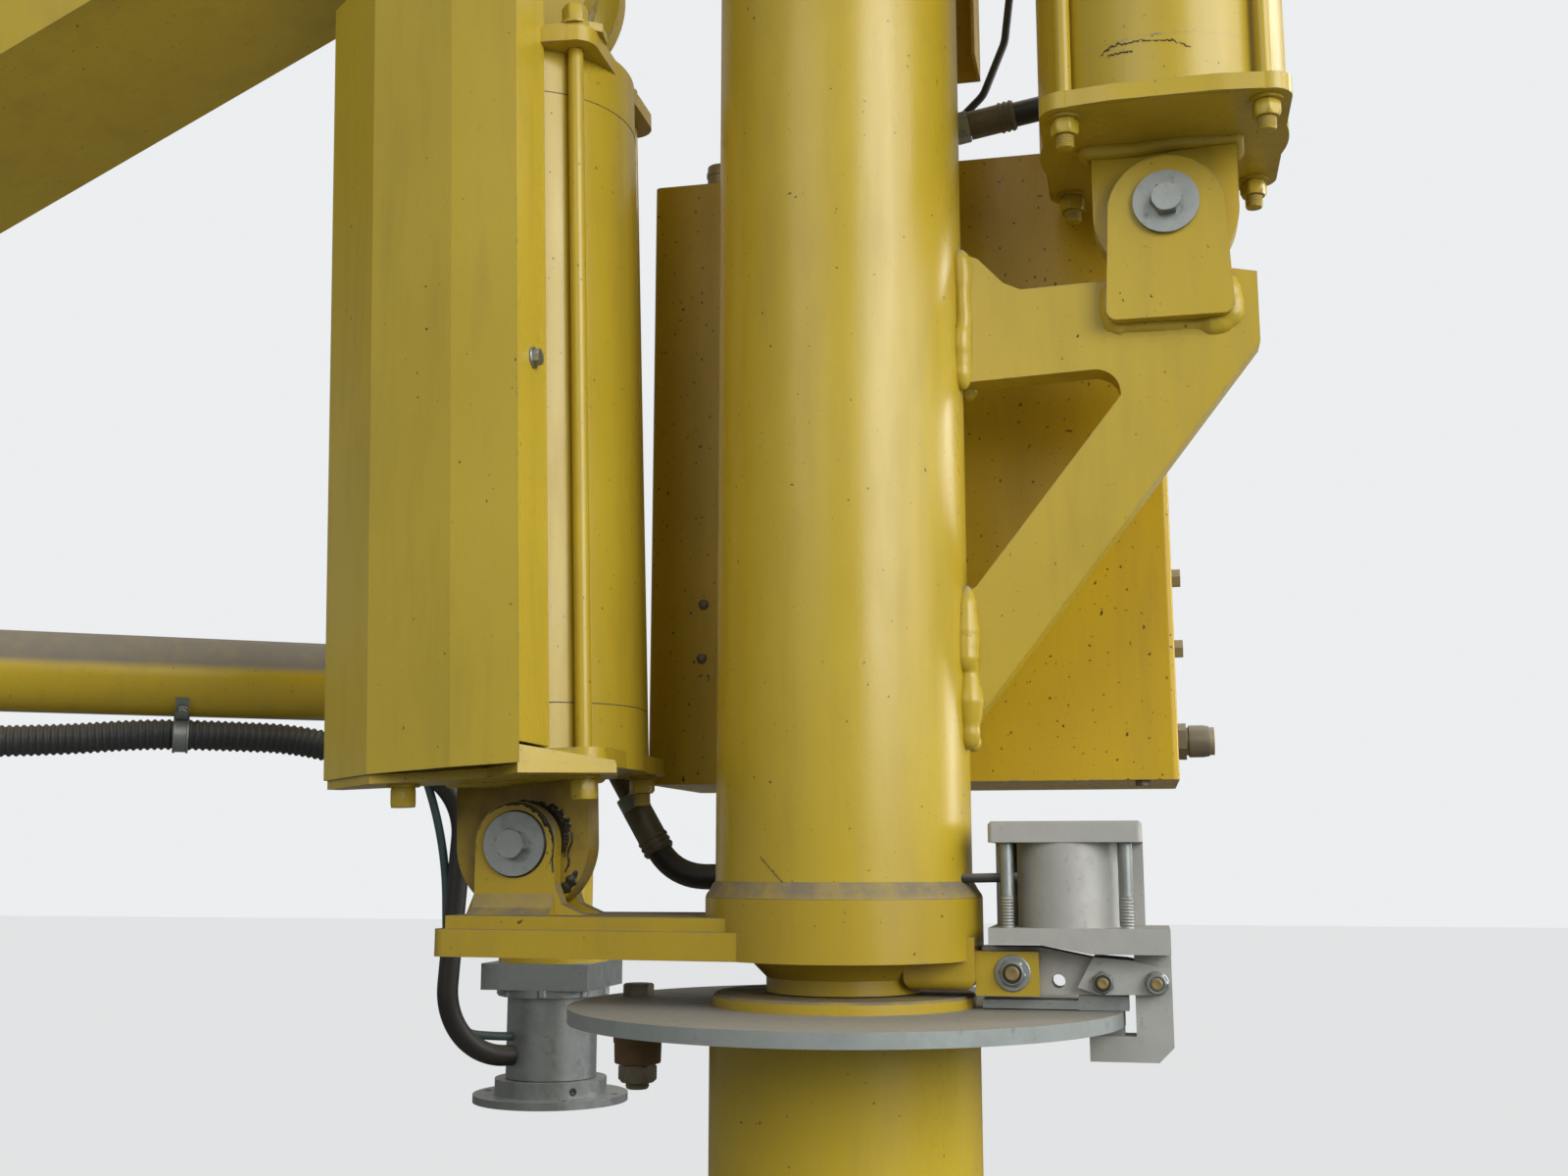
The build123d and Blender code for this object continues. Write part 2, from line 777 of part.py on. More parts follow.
with BuildPart() as brake_pins:
    for pin_x, pin_z, half in (
        (brake_pivot_x, brake_pivot_z, lever_thickness / 2 + side_clearance + tab_thickness),
        (link_left_x, link_z, link_gap + link_thickness),
        (link_right_x, link_z, link_gap + link_thickness),
    ):
        with BuildSketch(Plane(origin=(pin_x, brake_y, pin_z), x_dir=(1, 0, 0), z_dir=(0, -1, 0))):
            Circle(brake_pin_od / 2)
        extrude(amount=half + brake_pin_tail, both=True)
keep(brake_pins.part, "brake_pins")

with BuildPart() as brake_pads:
    with BuildSketch(Plane.XY.offset(disc_top_z + brake_pad_gap)):
        with Locations((brake_foot_left - brake_pad_lead + brake_pad_length / 2, brake_y)):
            Rectangle(brake_pad_length, brake_pad_width)
    extrude(amount=lever_bottom_z - disc_top_z - 2 * brake_pad_gap)
    with BuildSketch(Plane.XY.offset(brake_foot_top_z)):
        with Locations((brake_foot_left + brake_pad_width / 2, brake_y)):
            Rectangle(brake_pad_width, brake_pad_width)
    extrude(amount=disc_bottom_z - brake_foot_top_z - brake_pad_gap)
    with BuildSketch(Plane.XY.offset(disc_top_z + 2 * brake_pad_gap)):
        with Locations(((slide_bar_left + brake_foot_left - brake_pad_lead) / 2, brake_y)):
            Rectangle(brake_foot_left - brake_pad_lead - slide_bar_left, brake_pad_width)
    extrude(amount=slide_bar_thickness)
keep(brake_pads.part, "brake_pads")


def cylinder_body(axis, barrel_length, prefix):
    """Barrel, end caps, tie rods and foot lug of one tie-rod cylinder on its axis plane."""
    lower = cylinder_plate_offset
    upper = lower + barrel_length
    chamber_foot = lower + cylinder_plate_thickness + cap_height
    chamber_top = upper - cylinder_plate_thickness - cap_height
    with BuildPart() as tube:
        with BuildSketch(axis.offset(chamber_foot)):
            Circle(tube_od / 2)
            Circle(cylinder_bore / 2, mode=Mode.SUBTRACT)
        extrude(amount=chamber_top - chamber_foot)
    keep(tube.part, f"{prefix}_cylinder_tube")
    with BuildPart() as caps:
        for plate_level, cap_level in ((lower, chamber_foot), (upper, chamber_top)):
            direction = 1 if cap_level > plate_level else -1
            with BuildSketch(axis.offset(plate_level)):
                RectangleRounded(cylinder_plate, cylinder_plate, 20)
            extrude(amount=direction * cylinder_plate_thickness)
            with BuildSketch(axis.offset(plate_level)):
                Circle(tube_od / 2)
            extrude(amount=direction * (cylinder_plate_thickness + cap_height))
        with BuildSketch(axis.offset(lower - 1)):
            with GridLocations(tie_rod_spacing, tie_rod_spacing, 2, 2):
                Circle(tie_rod_od / 2 + 0.5)
        extrude(amount=barrel_length + 2, mode=Mode.SUBTRACT)
        with BuildSketch(axis.offset(upper + 1)):
            Circle(rod_od / 2 + pin_clearance)
        extrude(amount=-cylinder_plate_thickness - cap_height - 2, mode=Mode.SUBTRACT)
    keep(caps.part, f"{prefix}_end_caps")
    with BuildPart() as rods:
        with BuildSketch(axis.offset(lower - 27)):
            with GridLocations(tie_rod_spacing, tie_rod_spacing, 2, 2):
                Circle(tie_rod_od / 2)
        extrude(amount=barrel_length + 54)
    keep(rods.part, f"{prefix}_tie_rods")
    foot = Plane(origin=axis.origin, x_dir=axis.x_dir, z_dir=axis.x_dir.cross(axis.z_dir))
    with BuildPart() as lug:
        with BuildSketch(foot):
            Circle(lug_half_width)
            with Locations((0, lower / 2)):
                Rectangle(2 * lug_half_width, lower)
            with Locations((0, lug_half_width + lower)):
                Rectangle(4 * lug_half_width, 2 * lug_half_width, mode=Mode.SUBTRACT)
            with Locations((0, -lug_half_width - lug_flat)):
                Rectangle(4 * lug_half_width, 2 * lug_half_width, mode=Mode.SUBTRACT)
            Circle(foot_pin_od / 2 + pin_clearance, mode=Mode.SUBTRACT)
        extrude(amount=lug_thickness / 2, both=True)
    keep(lug.part, f"{prefix}_foot_lug")
    return caps.part


def piston_rod(axis, piston_level, eye_distance, prefix):
    """Piston, rod and rod eye, whose hole leaves room for the pin's path."""
    with BuildPart() as rod:
        with BuildSketch(axis.offset(piston_level)):
            Circle(cylinder_bore / 2 - 0.5)
        extrude(amount=piston_thickness)
        with BuildSketch(axis.offset(piston_level)):
            Circle(rod_od / 2)
        extrude(amount=eye_distance - piston_level - eye_hole / 2 - 8)
        eye = Plane(
            origin=axis.from_local_coords((0, 0, eye_distance)),
            x_dir=axis.x_dir,
            z_dir=axis.x_dir.cross(axis.z_dir),
        )
        with BuildSketch(eye):
            Circle(eye_radius)
            Circle(eye_hole / 2, mode=Mode.SUBTRACT)
        extrude(amount=eye_thickness / 2, both=True)
    keep(rod.part, f"{prefix}_piston_rod")


left_caps = cylinder_body(left_axis, left_barrel_length, "left")
cylinder_body(right_axis, right_barrel_length, "right")
piston_rod(left_axis, left_piston_level, left_eye_distance, "left")
piston_rod(right_axis, right_piston_level, right_eye_distance, "right")

# Guard: a folded sheet before the front cylinder, held by a plate under each end plate's nuts
guard_bottom = cylinder_plate_offset
guard_top = cylinder_plate_offset + left_barrel_length
with BuildPart() as guard_shell:
    with BuildSketch(left_axis.offset(guard_bottom)):
        with BuildLine():
            Polyline(*guard_points)
            offset(amount=guard_sheet, side=Side.LEFT)
        make_face()
    extrude(amount=left_barrel_length + guard_rise)
    with BuildSketch(left_axis.offset(guard_top + side_clearance)):
        Rectangle(cylinder_plate + side_clearance, cylinder_plate + side_clearance)
    extrude(amount=-cylinder_plate_thickness - 2 * side_clearance, mode=Mode.SUBTRACT)
    guard_right, guard_bend_y = guard_points[1]
    with BuildSketch(left_axis.offset(guard_bottom)):
        with Locations((guard_right, guard_bend_y)):
            Rectangle(2 * guard_sheet, -guard_bend_y, align=(Align.MIN, Align.MIN))
    extrude(amount=wedge_height + 2, mode=Mode.SUBTRACT)
keep(guard_shell.part, "guard_shell")

with BuildPart() as guard_plates:
    for level, free_edge in ((guard_bottom - guard_plate, holder_lower), (guard_top, holder_upper)):
        with BuildSketch(left_axis.offset(level)):
            with BuildLine():
                Polyline(*holder_left, guard_points[4], guard_points[3], *free_edge, close=True)
            make_face()
            with GridLocations(tie_rod_spacing, tie_rod_spacing, 2, 2):
                Circle(tie_rod_od / 2 + 0.5, mode=Mode.SUBTRACT)
        extrude(amount=guard_plate)
    tab_x, tab_y = holder_lower[3]
    wedge_view = Plane(
        origin=left_axis.from_local_coords((guard_right, -cylinder_plate / 2, guard_bottom)),
        x_dir=left_axis.x_dir,
        z_dir=(0, -1, 0),
    )
    with BuildPart(mode=Mode.PRIVATE) as wedge:
        with BuildSketch(wedge_view):
            Polygon(
                (0, 0),
                (tab_x - guard_right, 0),
                (tab_x - guard_right, wedge_height - wedge_drop),
                (0, wedge_height),
                align=None,
            )
        extrude(amount=-guard_bend_y)
        with BuildSketch(left_axis.offset(guard_bottom)):
            with BuildLine():
                Polyline(
                    (guard_right, guard_bend_y + 1),
                    (guard_right, -cylinder_plate / 2),
                    (tab_x - 1, -cylinder_plate / 2),
                    (tab_x - 1, tab_y),
                    close=True,
                )
            make_face()
        extrude(amount=wedge_height, mode=Mode.INTERSECT)
    add(wedge.part)
keep(guard_plates.part, "guard_plates")

# Main arm: box beam, its lugs for both piston rods and their pins
with BuildPart() as arm_beam:
    with BuildSketch(beam_plane.offset(-beam_width / 2)):
        with BuildLine():
            Polyline(
                (-beam_tail, -beam_height / 2),
                (arm_length - 160, -beam_height / 2),
                (arm_length + beam_nose, -70),
                (arm_length + beam_nose, 70),
                (arm_length - 160, beam_height / 2),
                (-beam_tail, beam_height / 2),
                close=True,
            )
        make_face()
    extrude(amount=beam_width)
    with BuildSketch(beam_plane.offset(-beam_width / 2 + beam_wall)):
        with BuildLine():
            Polyline(
                (-beam_tail + beam_wall, -beam_height / 2 + beam_wall),
                (arm_length - 160, -beam_height / 2 + beam_wall),
                (arm_length + beam_nose - beam_wall, -70 + beam_wall),
                (arm_length + beam_nose - beam_wall, 70 - beam_wall),
                (arm_length - 160, beam_height / 2 - beam_wall),
                (-beam_tail + beam_wall, beam_height / 2 - beam_wall),
                close=True,
            )
        make_face()
    extrude(amount=beam_width - 2 * beam_wall, mode=Mode.SUBTRACT)
    with BuildSketch(beam_plane.offset(-beam_width / 2)):
        Circle(main_pin_od / 2 + 15)
        with Locations((arm_length, 0)):
            Circle(main_pin_od / 2 + 15)
    extrude(amount=beam_width)
    with BuildSketch(beam_plane.offset(-beam_width / 2)):
        Circle(main_pin_od / 2 + pin_clearance)
        with Locations((arm_length, 0)):
            Circle(main_pin_od / 2 + pin_clearance)
    extrude(amount=beam_width, mode=Mode.SUBTRACT)
keep(arm_beam.part, "arm_beam")

left_eye_local = beam_plane.to_local_coords(left_eye)
right_eye = Vector(right_pin_x, 0, right_eye_z)
right_eye_local = beam_plane.to_local_coords(right_eye)
print("left eye local", left_eye_local, "right eye local", right_eye_local)
ear_gap = eye_thickness / 2 + side_clearance
with BuildPart() as front_ears:
    for start in (-ear_gap - arm_ear_thickness, ear_gap):
        with BuildSketch(beam_plane.offset(start)):
            with BuildLine():
                Polyline(
                    (left_eye_local.X - arm_ear_radius - 30, -beam_height / 2),
                    (left_eye_local.X + arm_ear_radius + 30, -beam_height / 2),
                    (left_eye_local.X, left_eye_local.Y),
                    close=True,
                )
            make_face()
            with Locations((left_eye_local.X, left_eye_local.Y)):
                Circle(arm_ear_radius)
            make_hull()
            with Locations((left_eye_local.X, left_eye_local.Y)):
                Circle(eye_pin_od / 2, mode=Mode.SUBTRACT)
            with Locations(Location((left_eye_local.X, left_eye_local.Y, 0), arm_slope)):
                with Locations((0, -arm_ear_flat - arm_ear_radius)):
                    Rectangle(4 * arm_ear_radius, 2 * arm_ear_radius, mode=Mode.SUBTRACT)
        extrude(amount=arm_ear_thickness)
keep(front_ears.part, "front_ears")

with BuildPart() as rear_ears:
    for start in (-ear_gap - arm_ear_thickness, ear_gap):
        with BuildSketch(beam_plane.offset(start)):
            with BuildLine():
                Polyline(
                    (-beam_tail, -beam_height / 2),
                    (-beam_tail, beam_height / 2),
                    (right_eye_local.X, right_eye_local.Y),
                    close=True,
                )
            make_face()
            with Locations((right_eye_local.X, right_eye_local.Y)):
                Circle(tail_eye_radius)
            make_hull()
            with Locations((right_eye_local.X, right_eye_local.Y)):
                Circle(eye_pin_od / 2, mode=Mode.SUBTRACT)
        extrude(amount=arm_ear_thickness)
keep(rear_ears.part, "rear_ears")

with BuildPart() as arm_pins:
    half = ear_gap + arm_ear_thickness
    for eye in (left_eye_local, right_eye_local):
        with BuildSketch(beam_plane.offset(-half - 6)):
            with Locations((eye.X, eye.Y)):
                Circle(eye_pin_od / 2)
        extrude(amount=2 * half + 12)
keep(arm_pins.part, "arm_pins")

# Tie bar above the beam
tie_plane = Plane(origin=(0, 0, tie_z), x_dir=(beam_ux, 0, beam_uz), z_dir=(0, 1, 0))
with BuildPart() as tie_bar:
    with BuildSketch(Plane(origin=tie_plane.from_local_coords((20, 0, 0)), z_dir=(beam_ux, 0, beam_uz))):
        Circle(tie_bar_od / 2)
    extrude(amount=arm_length - 40)
    with BuildSketch(tie_plane.offset(-tie_eye_width / 2)):
        with Locations((0, 0), (arm_length, 0)):
            Circle(tie_eye_radius)
    extrude(amount=tie_eye_width)
    with BuildSketch(tie_plane.offset(-tie_bar_od)):
        with Locations((0, 0), (arm_length, 0)):
            Circle(tie_pin_od / 2 + pin_clearance)
    extrude(amount=2 * tie_bar_od, mode=Mode.SUBTRACT)
keep(tie_bar.part, "tie_bar")

# Elbow: cheeks and web round the beam's nose, and the upright bearing tube
elbow_web_x = forearm_axis_x + bearing_od / 2
with BuildPart() as elbow_cheeks:
    for y_front in (-cheek_inner, cheek_inner + elbow_cheek):
        with BuildSketch(across_y(y_front)):
            with BuildLine():
                Polyline(
                    (elbow_web_x, elbow_z - 190),
                    (elbow_web_x + 60, elbow_z - 190),
                    (elbow_x + 70, elbow_z - 20),
                    (elbow_x + 60, elbow_z + tie_rise + 30),
                    (elbow_x + 20, elbow_z + tie_rise + 60),
                    (elbow_web_x, elbow_z + tie_rise + 60),
                    close=True,
                )
            make_face()
            with Locations((elbow_x, elbow_z)):
                Circle(main_pin_od / 2, mode=Mode.SUBTRACT)
            with Locations((elbow_x, elbow_z + tie_rise)):
                Circle(tie_pin_od / 2, mode=Mode.SUBTRACT)
        extrude(amount=elbow_cheek)
    with BuildSketch(Plane.XY.offset(elbow_z - 190)):
        with Locations((elbow_web_x - 4, 0)):
            Rectangle(elbow_web, 2 * cheek_inner)
    extrude(amount=tie_rise + 250)
    with Locations((forearm_axis_x, 0, elbow_z - 200)):
        Cylinder(
            bearing_od / 2, 600, align=(Align.CENTER, Align.CENTER, Align.MIN), mode=Mode.SUBTRACT
        )
keep(elbow_cheeks.part, "elbow_cheeks")

with BuildPart() as elbow_bearing:
    with BuildSketch(Plane.XY.offset(bearing_bottom_z)):
        with Locations((forearm_axis_x, 0)):
            Circle(bearing_od / 2)
            Circle(bearing_bore / 2 + slew_clearance, mode=Mode.SUBTRACT)
    extrude(amount=bearing_height)
keep(elbow_bearing.part, "elbow_bearing")

with BuildPart() as elbow_pins:
    for pin_z, pin_od in ((elbow_z, main_pin_od), (elbow_z + tie_rise, tie_pin_od)):
        with BuildSketch(Plane(origin=(elbow_x, 0, pin_z), x_dir=(1, 0, 0), z_dir=(0, -1, 0))):
            Circle(pin_od / 2)
        extrude(amount=cheek_inner + elbow_cheek + 8, both=True)
keep(elbow_pins.part, "elbow_pins")

# Forearm: head with spindle, bent tube and the flange at the foot of its drop
forearm_x = cos(radians(forearm_heading))
forearm_y = sin(radians(forearm_heading))
tool_x = forearm_axis_x + forearm_length * forearm_x
tool_y = forearm_length * forearm_y
head_half = forearm_head_height / 2
with BuildPart() as forearm_head:
    with BuildSketch(Plane.XY.offset(forearm_z - head_half)):
        with Locations((forearm_axis_x, 0)):
            Circle(bearing_od / 2)
    extrude(amount=forearm_head_height)
    with BuildSketch(Plane.XY.offset(forearm_z + head_half)):
        with Locations((forearm_axis_x, 0)):
            Circle(bearing_bore / 2)
    extrude(amount=bearing_bottom_z + bearing_height - forearm_z - head_half)
keep(forearm_head.part, "forearm_head")

with BuildPart() as forearm_tube:
    start = (
        forearm_axis_x + bearing_od / 2 * forearm_x,
        bearing_od / 2 * forearm_y,
        forearm_z,
    )
    with BuildLine() as route:
        FilletPolyline(
            start,
            (tool_x, tool_y, forearm_z),
            (tool_x, tool_y, drop_bottom_z + drop_flange_thickness),
            radius=drop_bend,
        )
    with BuildSketch(Plane(origin=start, z_dir=(forearm_x, forearm_y, 0))):
        Circle(forearm_od / 2)
        Circle(forearm_od / 2 - forearm_wall, mode=Mode.SUBTRACT)
    sweep(path=route.line)
    with BuildSketch(Plane.XY.offset(drop_bottom_z)):
        with Locations((tool_x, tool_y)):
            Circle(drop_flange / 2)
    extrude(amount=drop_flange_thickness)
    with Locations((forearm_axis_x, 0, forearm_z)):
        Cylinder(bearing_od / 2, forearm_head_height, mode=Mode.SUBTRACT)
keep(forearm_tube.part, "forearm_tube")

# Tool end: square block and bearing housing under the drop, and the flange that turns below it
ring_z = drop_bottom_z - tool_block_height
neck_z = ring_z - joint_ring_height
housing_bottom_z = neck_z - joint_neck_height
with BuildPart() as tool_housing:
    with BuildSketch(Plane.XY.offset(drop_bottom_z)):
        with Locations((tool_x, tool_y)):
            Rectangle(drop_flange, drop_flange)
    extrude(amount=-tool_block_height)
    with BuildSketch(Plane.XY.offset(ring_z)):
        with Locations((tool_x, tool_y)):
            Circle(joint_ring_od / 2)
    extrude(amount=-joint_ring_height)
    with BuildSketch(Plane.XY.offset(neck_z)):
        with Locations((tool_x, tool_y)):
            Circle(joint_neck_od / 2)
    extrude(amount=-joint_neck_height)
    with BuildSketch(Plane.XY.offset(housing_bottom_z)):
        with Locations((tool_x, tool_y)):
            Circle(spigot_od / 2 + slew_clearance)
    extrude(amount=spigot_length + side_clearance, mode=Mode.SUBTRACT)
keep(tool_housing.part, "tool_housing")

tool_collar_top = housing_bottom_z - side_clearance
tool_flange_top = tool_collar_top - tool_collar_height
with BuildPart() as tool_flange:
    with BuildSketch(Plane.XY.offset(tool_flange_top)):
        with Locations((tool_x, tool_y)):
            Circle(tool_flange_od / 2)
            with PolarLocations(tool_bolt_circle / 2, 6):
                Circle(tool_bolt_hole / 2, mode=Mode.SUBTRACT)
    extrude(amount=-tool_flange_thickness)
    with BuildSketch(Plane.XY.offset(tool_flange_top)):
        with Locations((tool_x, tool_y)):
            Circle(tool_collar_od / 2)
    extrude(amount=tool_collar_height)
    with BuildSketch(Plane.XY.offset(tool_collar_top)):
        with Locations((tool_x, tool_y)):
            Circle(spigot_od / 2)
    extrude(amount=side_clearance + spigot_length)
keep(tool_flange.part, "tool_flange")


def hose(points, diameter, bend, name, seats=()):
    """Round hose along straight runs joined by tangent arcs, cut off at what it ends on."""
    with BuildPart() as run:
        with BuildLine() as way:
            FilletPolyline(*points, radius=bend)
        with BuildSketch(Plane(origin=points[0], z_dir=Vector(*points[1]) - Vector(*points[0]))):
            Circle(diameter / 2)
        sweep(path=way.line)
        for seat in seats:
            add(seat, mode=Mode.SUBTRACT)
    keep(run.part, name)
    return run.part


def hose_fitting(port, ferrule_end, name, seats=()):
    """Elbow from a port, and the crimped ferrule up to where the hose leaves it."""
    with BuildPart() as fitting:
        with BuildLine() as way:
            FilletPolyline(*port, ferrule_end, radius=fitting_bend)
        with BuildSketch(Plane(origin=port[0], z_dir=Vector(*port[1]) - Vector(*port[0]))):
            Circle(fitting_od / 2)
        sweep(path=way.line)
        with BuildSketch(Plane(origin=ferrule_end, z_dir=Vector(*port[-1]) - Vector(*ferrule_end))):
            Circle(ferrule_od / 2)
        extrude(amount=ferrule_length)
        for seat in seats:
            add(seat, mode=Mode.SUBTRACT)
    keep(fitting.part, name)


# Hoses of both cylinders and the thin air line to the top of the rear one
hose_fitting(left_port, left_ferrule_end, "left_fitting", seats=[left_caps])
hose_fitting(right_port, right_ferrule_end, "right_fitting")
hose([left_ferrule_end, *left_hose_route], hose_od, hose_bend, "left_hose")
hose([right_ferrule_end, *right_hose_route], hose_od, hose_bend, "right_hose")
hose(air_line_route, air_line_od, air_line_bend, "air_line")


def by_forearm(along, aside, height):
    """A point that far along the forearm from the elbow's axis, and aside towards the front."""
    return (
        forearm_axis_x + along * forearm_x + aside * forearm_y,
        along * forearm_y - aside * forearm_x,
        height,
    )


# Conduit clamped under the forearm, and the hose out of it, down beside the drop to the housing
conduit_z = forearm_z - forearm_od / 2 - conduit_gap - conduit_od / 2
first_clip, last_clip = conduit_clips
conduit_path = [
    by_forearm(conduit_start, 0, conduit_z - conduit_sag / 3),
    by_forearm(first_clip, 0, conduit_z),
    by_forearm((first_clip + last_clip) / 2, 0, conduit_z - conduit_sag),
    by_forearm(last_clip, 0, conduit_z),
    by_forearm(conduit_bend_at, 0, conduit_z),
    by_forearm(conduit_end, tool_hose_side, conduit_z - conduit_drop),
]
conduit = hose(conduit_path, conduit_od, conduit_bend, "forearm_conduit")
with BuildPart() as conduit_clamps:
    for along in conduit_clips:
        with BuildSketch(Plane(origin=by_forearm(along, 0, conduit_z), z_dir=(forearm_x, forearm_y, 0))):
            Circle(conduit_od / 2 + clip_gap + clip_sheet)
            Circle(conduit_od / 2 + clip_gap, mode=Mode.SUBTRACT)
        extrude(amount=clip_width / 2, both=True)
keep(conduit_clamps.part, "conduit_clamps")
hose_way = forearm_length - tool_hose_back
hose(
    [
        conduit_path[-1],
        by_forearm(hose_way + 23, tool_hose_side, conduit_z - conduit_drop),
        by_forearm(hose_way, tool_hose_side, housing_bottom_z + tool_hose_rise),
        by_forearm(forearm_length - 40, tool_hose_side / 4, housing_bottom_z + tool_hose_rise),
    ],
    tool_hose_od,
    tool_hose_bend,
    "tool_hose",
    seats=[conduit, tool_housing.part],
)
print("tool", tool_x, tool_y, tool_flange_top - tool_flange_thickness)
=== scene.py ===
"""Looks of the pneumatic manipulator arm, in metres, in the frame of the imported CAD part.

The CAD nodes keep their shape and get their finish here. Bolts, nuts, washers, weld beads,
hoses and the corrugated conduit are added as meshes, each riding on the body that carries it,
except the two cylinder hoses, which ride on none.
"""

import json
from math import asin, atan2, cos, pi, radians, sin, tau

import bpy
import numpy as np
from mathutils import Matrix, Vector


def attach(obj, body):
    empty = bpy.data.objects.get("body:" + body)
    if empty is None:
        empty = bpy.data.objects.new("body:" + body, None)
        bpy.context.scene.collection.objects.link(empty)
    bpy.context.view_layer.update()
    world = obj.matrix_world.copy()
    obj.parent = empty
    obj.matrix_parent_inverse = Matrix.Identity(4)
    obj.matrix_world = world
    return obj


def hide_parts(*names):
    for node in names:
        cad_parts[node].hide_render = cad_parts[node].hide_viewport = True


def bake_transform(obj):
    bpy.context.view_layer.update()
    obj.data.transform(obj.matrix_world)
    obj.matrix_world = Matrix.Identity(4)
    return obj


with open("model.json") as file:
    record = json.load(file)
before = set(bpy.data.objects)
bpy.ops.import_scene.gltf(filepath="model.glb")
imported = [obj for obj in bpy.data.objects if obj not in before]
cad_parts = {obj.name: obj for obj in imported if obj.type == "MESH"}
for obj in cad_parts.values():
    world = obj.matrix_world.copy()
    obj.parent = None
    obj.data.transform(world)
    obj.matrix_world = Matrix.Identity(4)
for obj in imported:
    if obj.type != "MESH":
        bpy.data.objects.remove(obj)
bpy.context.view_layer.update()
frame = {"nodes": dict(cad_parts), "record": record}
nodes = frame["nodes"]

# Driving sizes, repeated from the part's source
COLUMN_R = 0.114
MAST_R = 0.10955
DISC_TOP = 1.382
HUB_TOP = 1.471
LEFT_PIN = Vector((-0.287, 0, 1.516))
LEFT_LEAN = radians(1.93)
RIGHT_PIN = Vector((0.290, 0, 2.0587))
PIVOT = Vector((0, 0, 2.780))
ARM_SLOPE = radians(25.3)
ARM_LENGTH = 1.648
TIE_RISE = 0.180
PLATE_LEVEL, PLATE_THICK = 0.061, 0.015
BARREL_R = 0.107
CAP_LENGTH = 0.055
ROD_SPACING = 0.164
LEFT_BARREL, RIGHT_BARREL = 0.666, 0.540
WEDGE_HIGH = 0.017
FOREARM_LENGTH, FOREARM_Z = 1.382, 1.735
ANCHOR_RING = 0.260
STOP_RING, STOP_TURN = 0.205, radians(165)
CONDUIT_DROP = 0.027
BRAKE_Y = -0.010

along_left = Vector((-sin(LEFT_LEAN), 0, cos(LEFT_LEAN)))
across_left = Vector((cos(LEFT_LEAN), 0, sin(LEFT_LEAN)))
along_arm = Vector((-cos(ARM_SLOPE), 0, -sin(ARM_SLOPE)))
ELBOW = PIVOT + ARM_LENGTH * along_arm


# ---------------------------------------------------------------- materials
def linear(hex_colour):
    """sRGB hex to linear RGBA: each channel c becomes ((c + 0.055) / 1.055) ** 2.4 above 0.04045."""
    channels = [int(hex_colour[i : i + 2], 16) / 255 for i in (1, 3, 5)]
    return (*[c / 12.92 if c <= 0.04045 else ((c + 0.055) / 1.055) ** 2.4 for c in channels], 1)


def add(tree, kind, inputs=None, **settings):
    """Adds one shader node with its settings; inputs are values, or sockets to link from."""
    made = tree.nodes.new("ShaderNode" + kind)
    for name, value in settings.items():
        setattr(made, name, value)
    for name, value in (inputs or {}).items():
        socket = made.inputs[name]
        if isinstance(value, bpy.types.NodeSocket):
            tree.links.new(value, socket)
        else:
            socket.default_value = value
    return made


def new_material(name):
    """An empty node material with its shader: returns (material, tree, shader, object coordinates)."""
    material = bpy.data.materials.new(name)
    material.use_nodes = True
    tree = material.node_tree
    shader = next(n for n in tree.nodes if n.type == "BSDF_PRINCIPLED")
    place = add(tree, "TexCoord")
    return material, tree, shader, place


def noise(tree, spot, scale, detail, roughness=0.5):
    """Smooth noise from 0 to 1 in object space."""
    inputs = {"Vector": spot, "Scale": scale, "Detail": detail, "Roughness": roughness}
    return add(tree, "TexNoise", inputs).outputs["Fac"]


def ramp(tree, value, low, high, to_low=0.0, to_high=1.0):
    """The value stretched from low..high to to_low..to_high and held there."""
    inputs = {"Value": value, "From Min": low, "From Max": high, "To Min": to_low, "To Max": to_high}
    return add(tree, "MapRange", inputs).outputs[0]


def times(tree, one, two):
    """The product of two values."""
    return add(tree, "Math", {0: one, 1: two}, operation="MULTIPLY").outputs[0]


def tinted(tree, amount, below, tone):
    """The colour below, covered by a tone as far as the amount says; a tone may be a hex colour."""
    one, two = (linear(c) if isinstance(c, str) else c for c in (below, tone))
    return add(tree, "Mix", {0: amount, 6: one, 7: two}, data_type="RGBA").outputs[2]


def mixed(tree, amount, one, two):
    """The value that goes from one to two by an amount."""
    return add(tree, "Mix", {0: amount, 2: one, 3: two}, data_type="FLOAT").outputs[0]


def wire(tree, shader, colour, height, strength, distance):
    """Links the colour, and the relief as a bump of that strength and depth in metres."""
    tree.links.new(colour, shader.inputs["Base Color"])
    bump = add(tree, "Bump", {"Height": height, "Strength": strength, "Distance": distance})
    tree.links.new(bump.outputs[0], shader.inputs["Normal"])


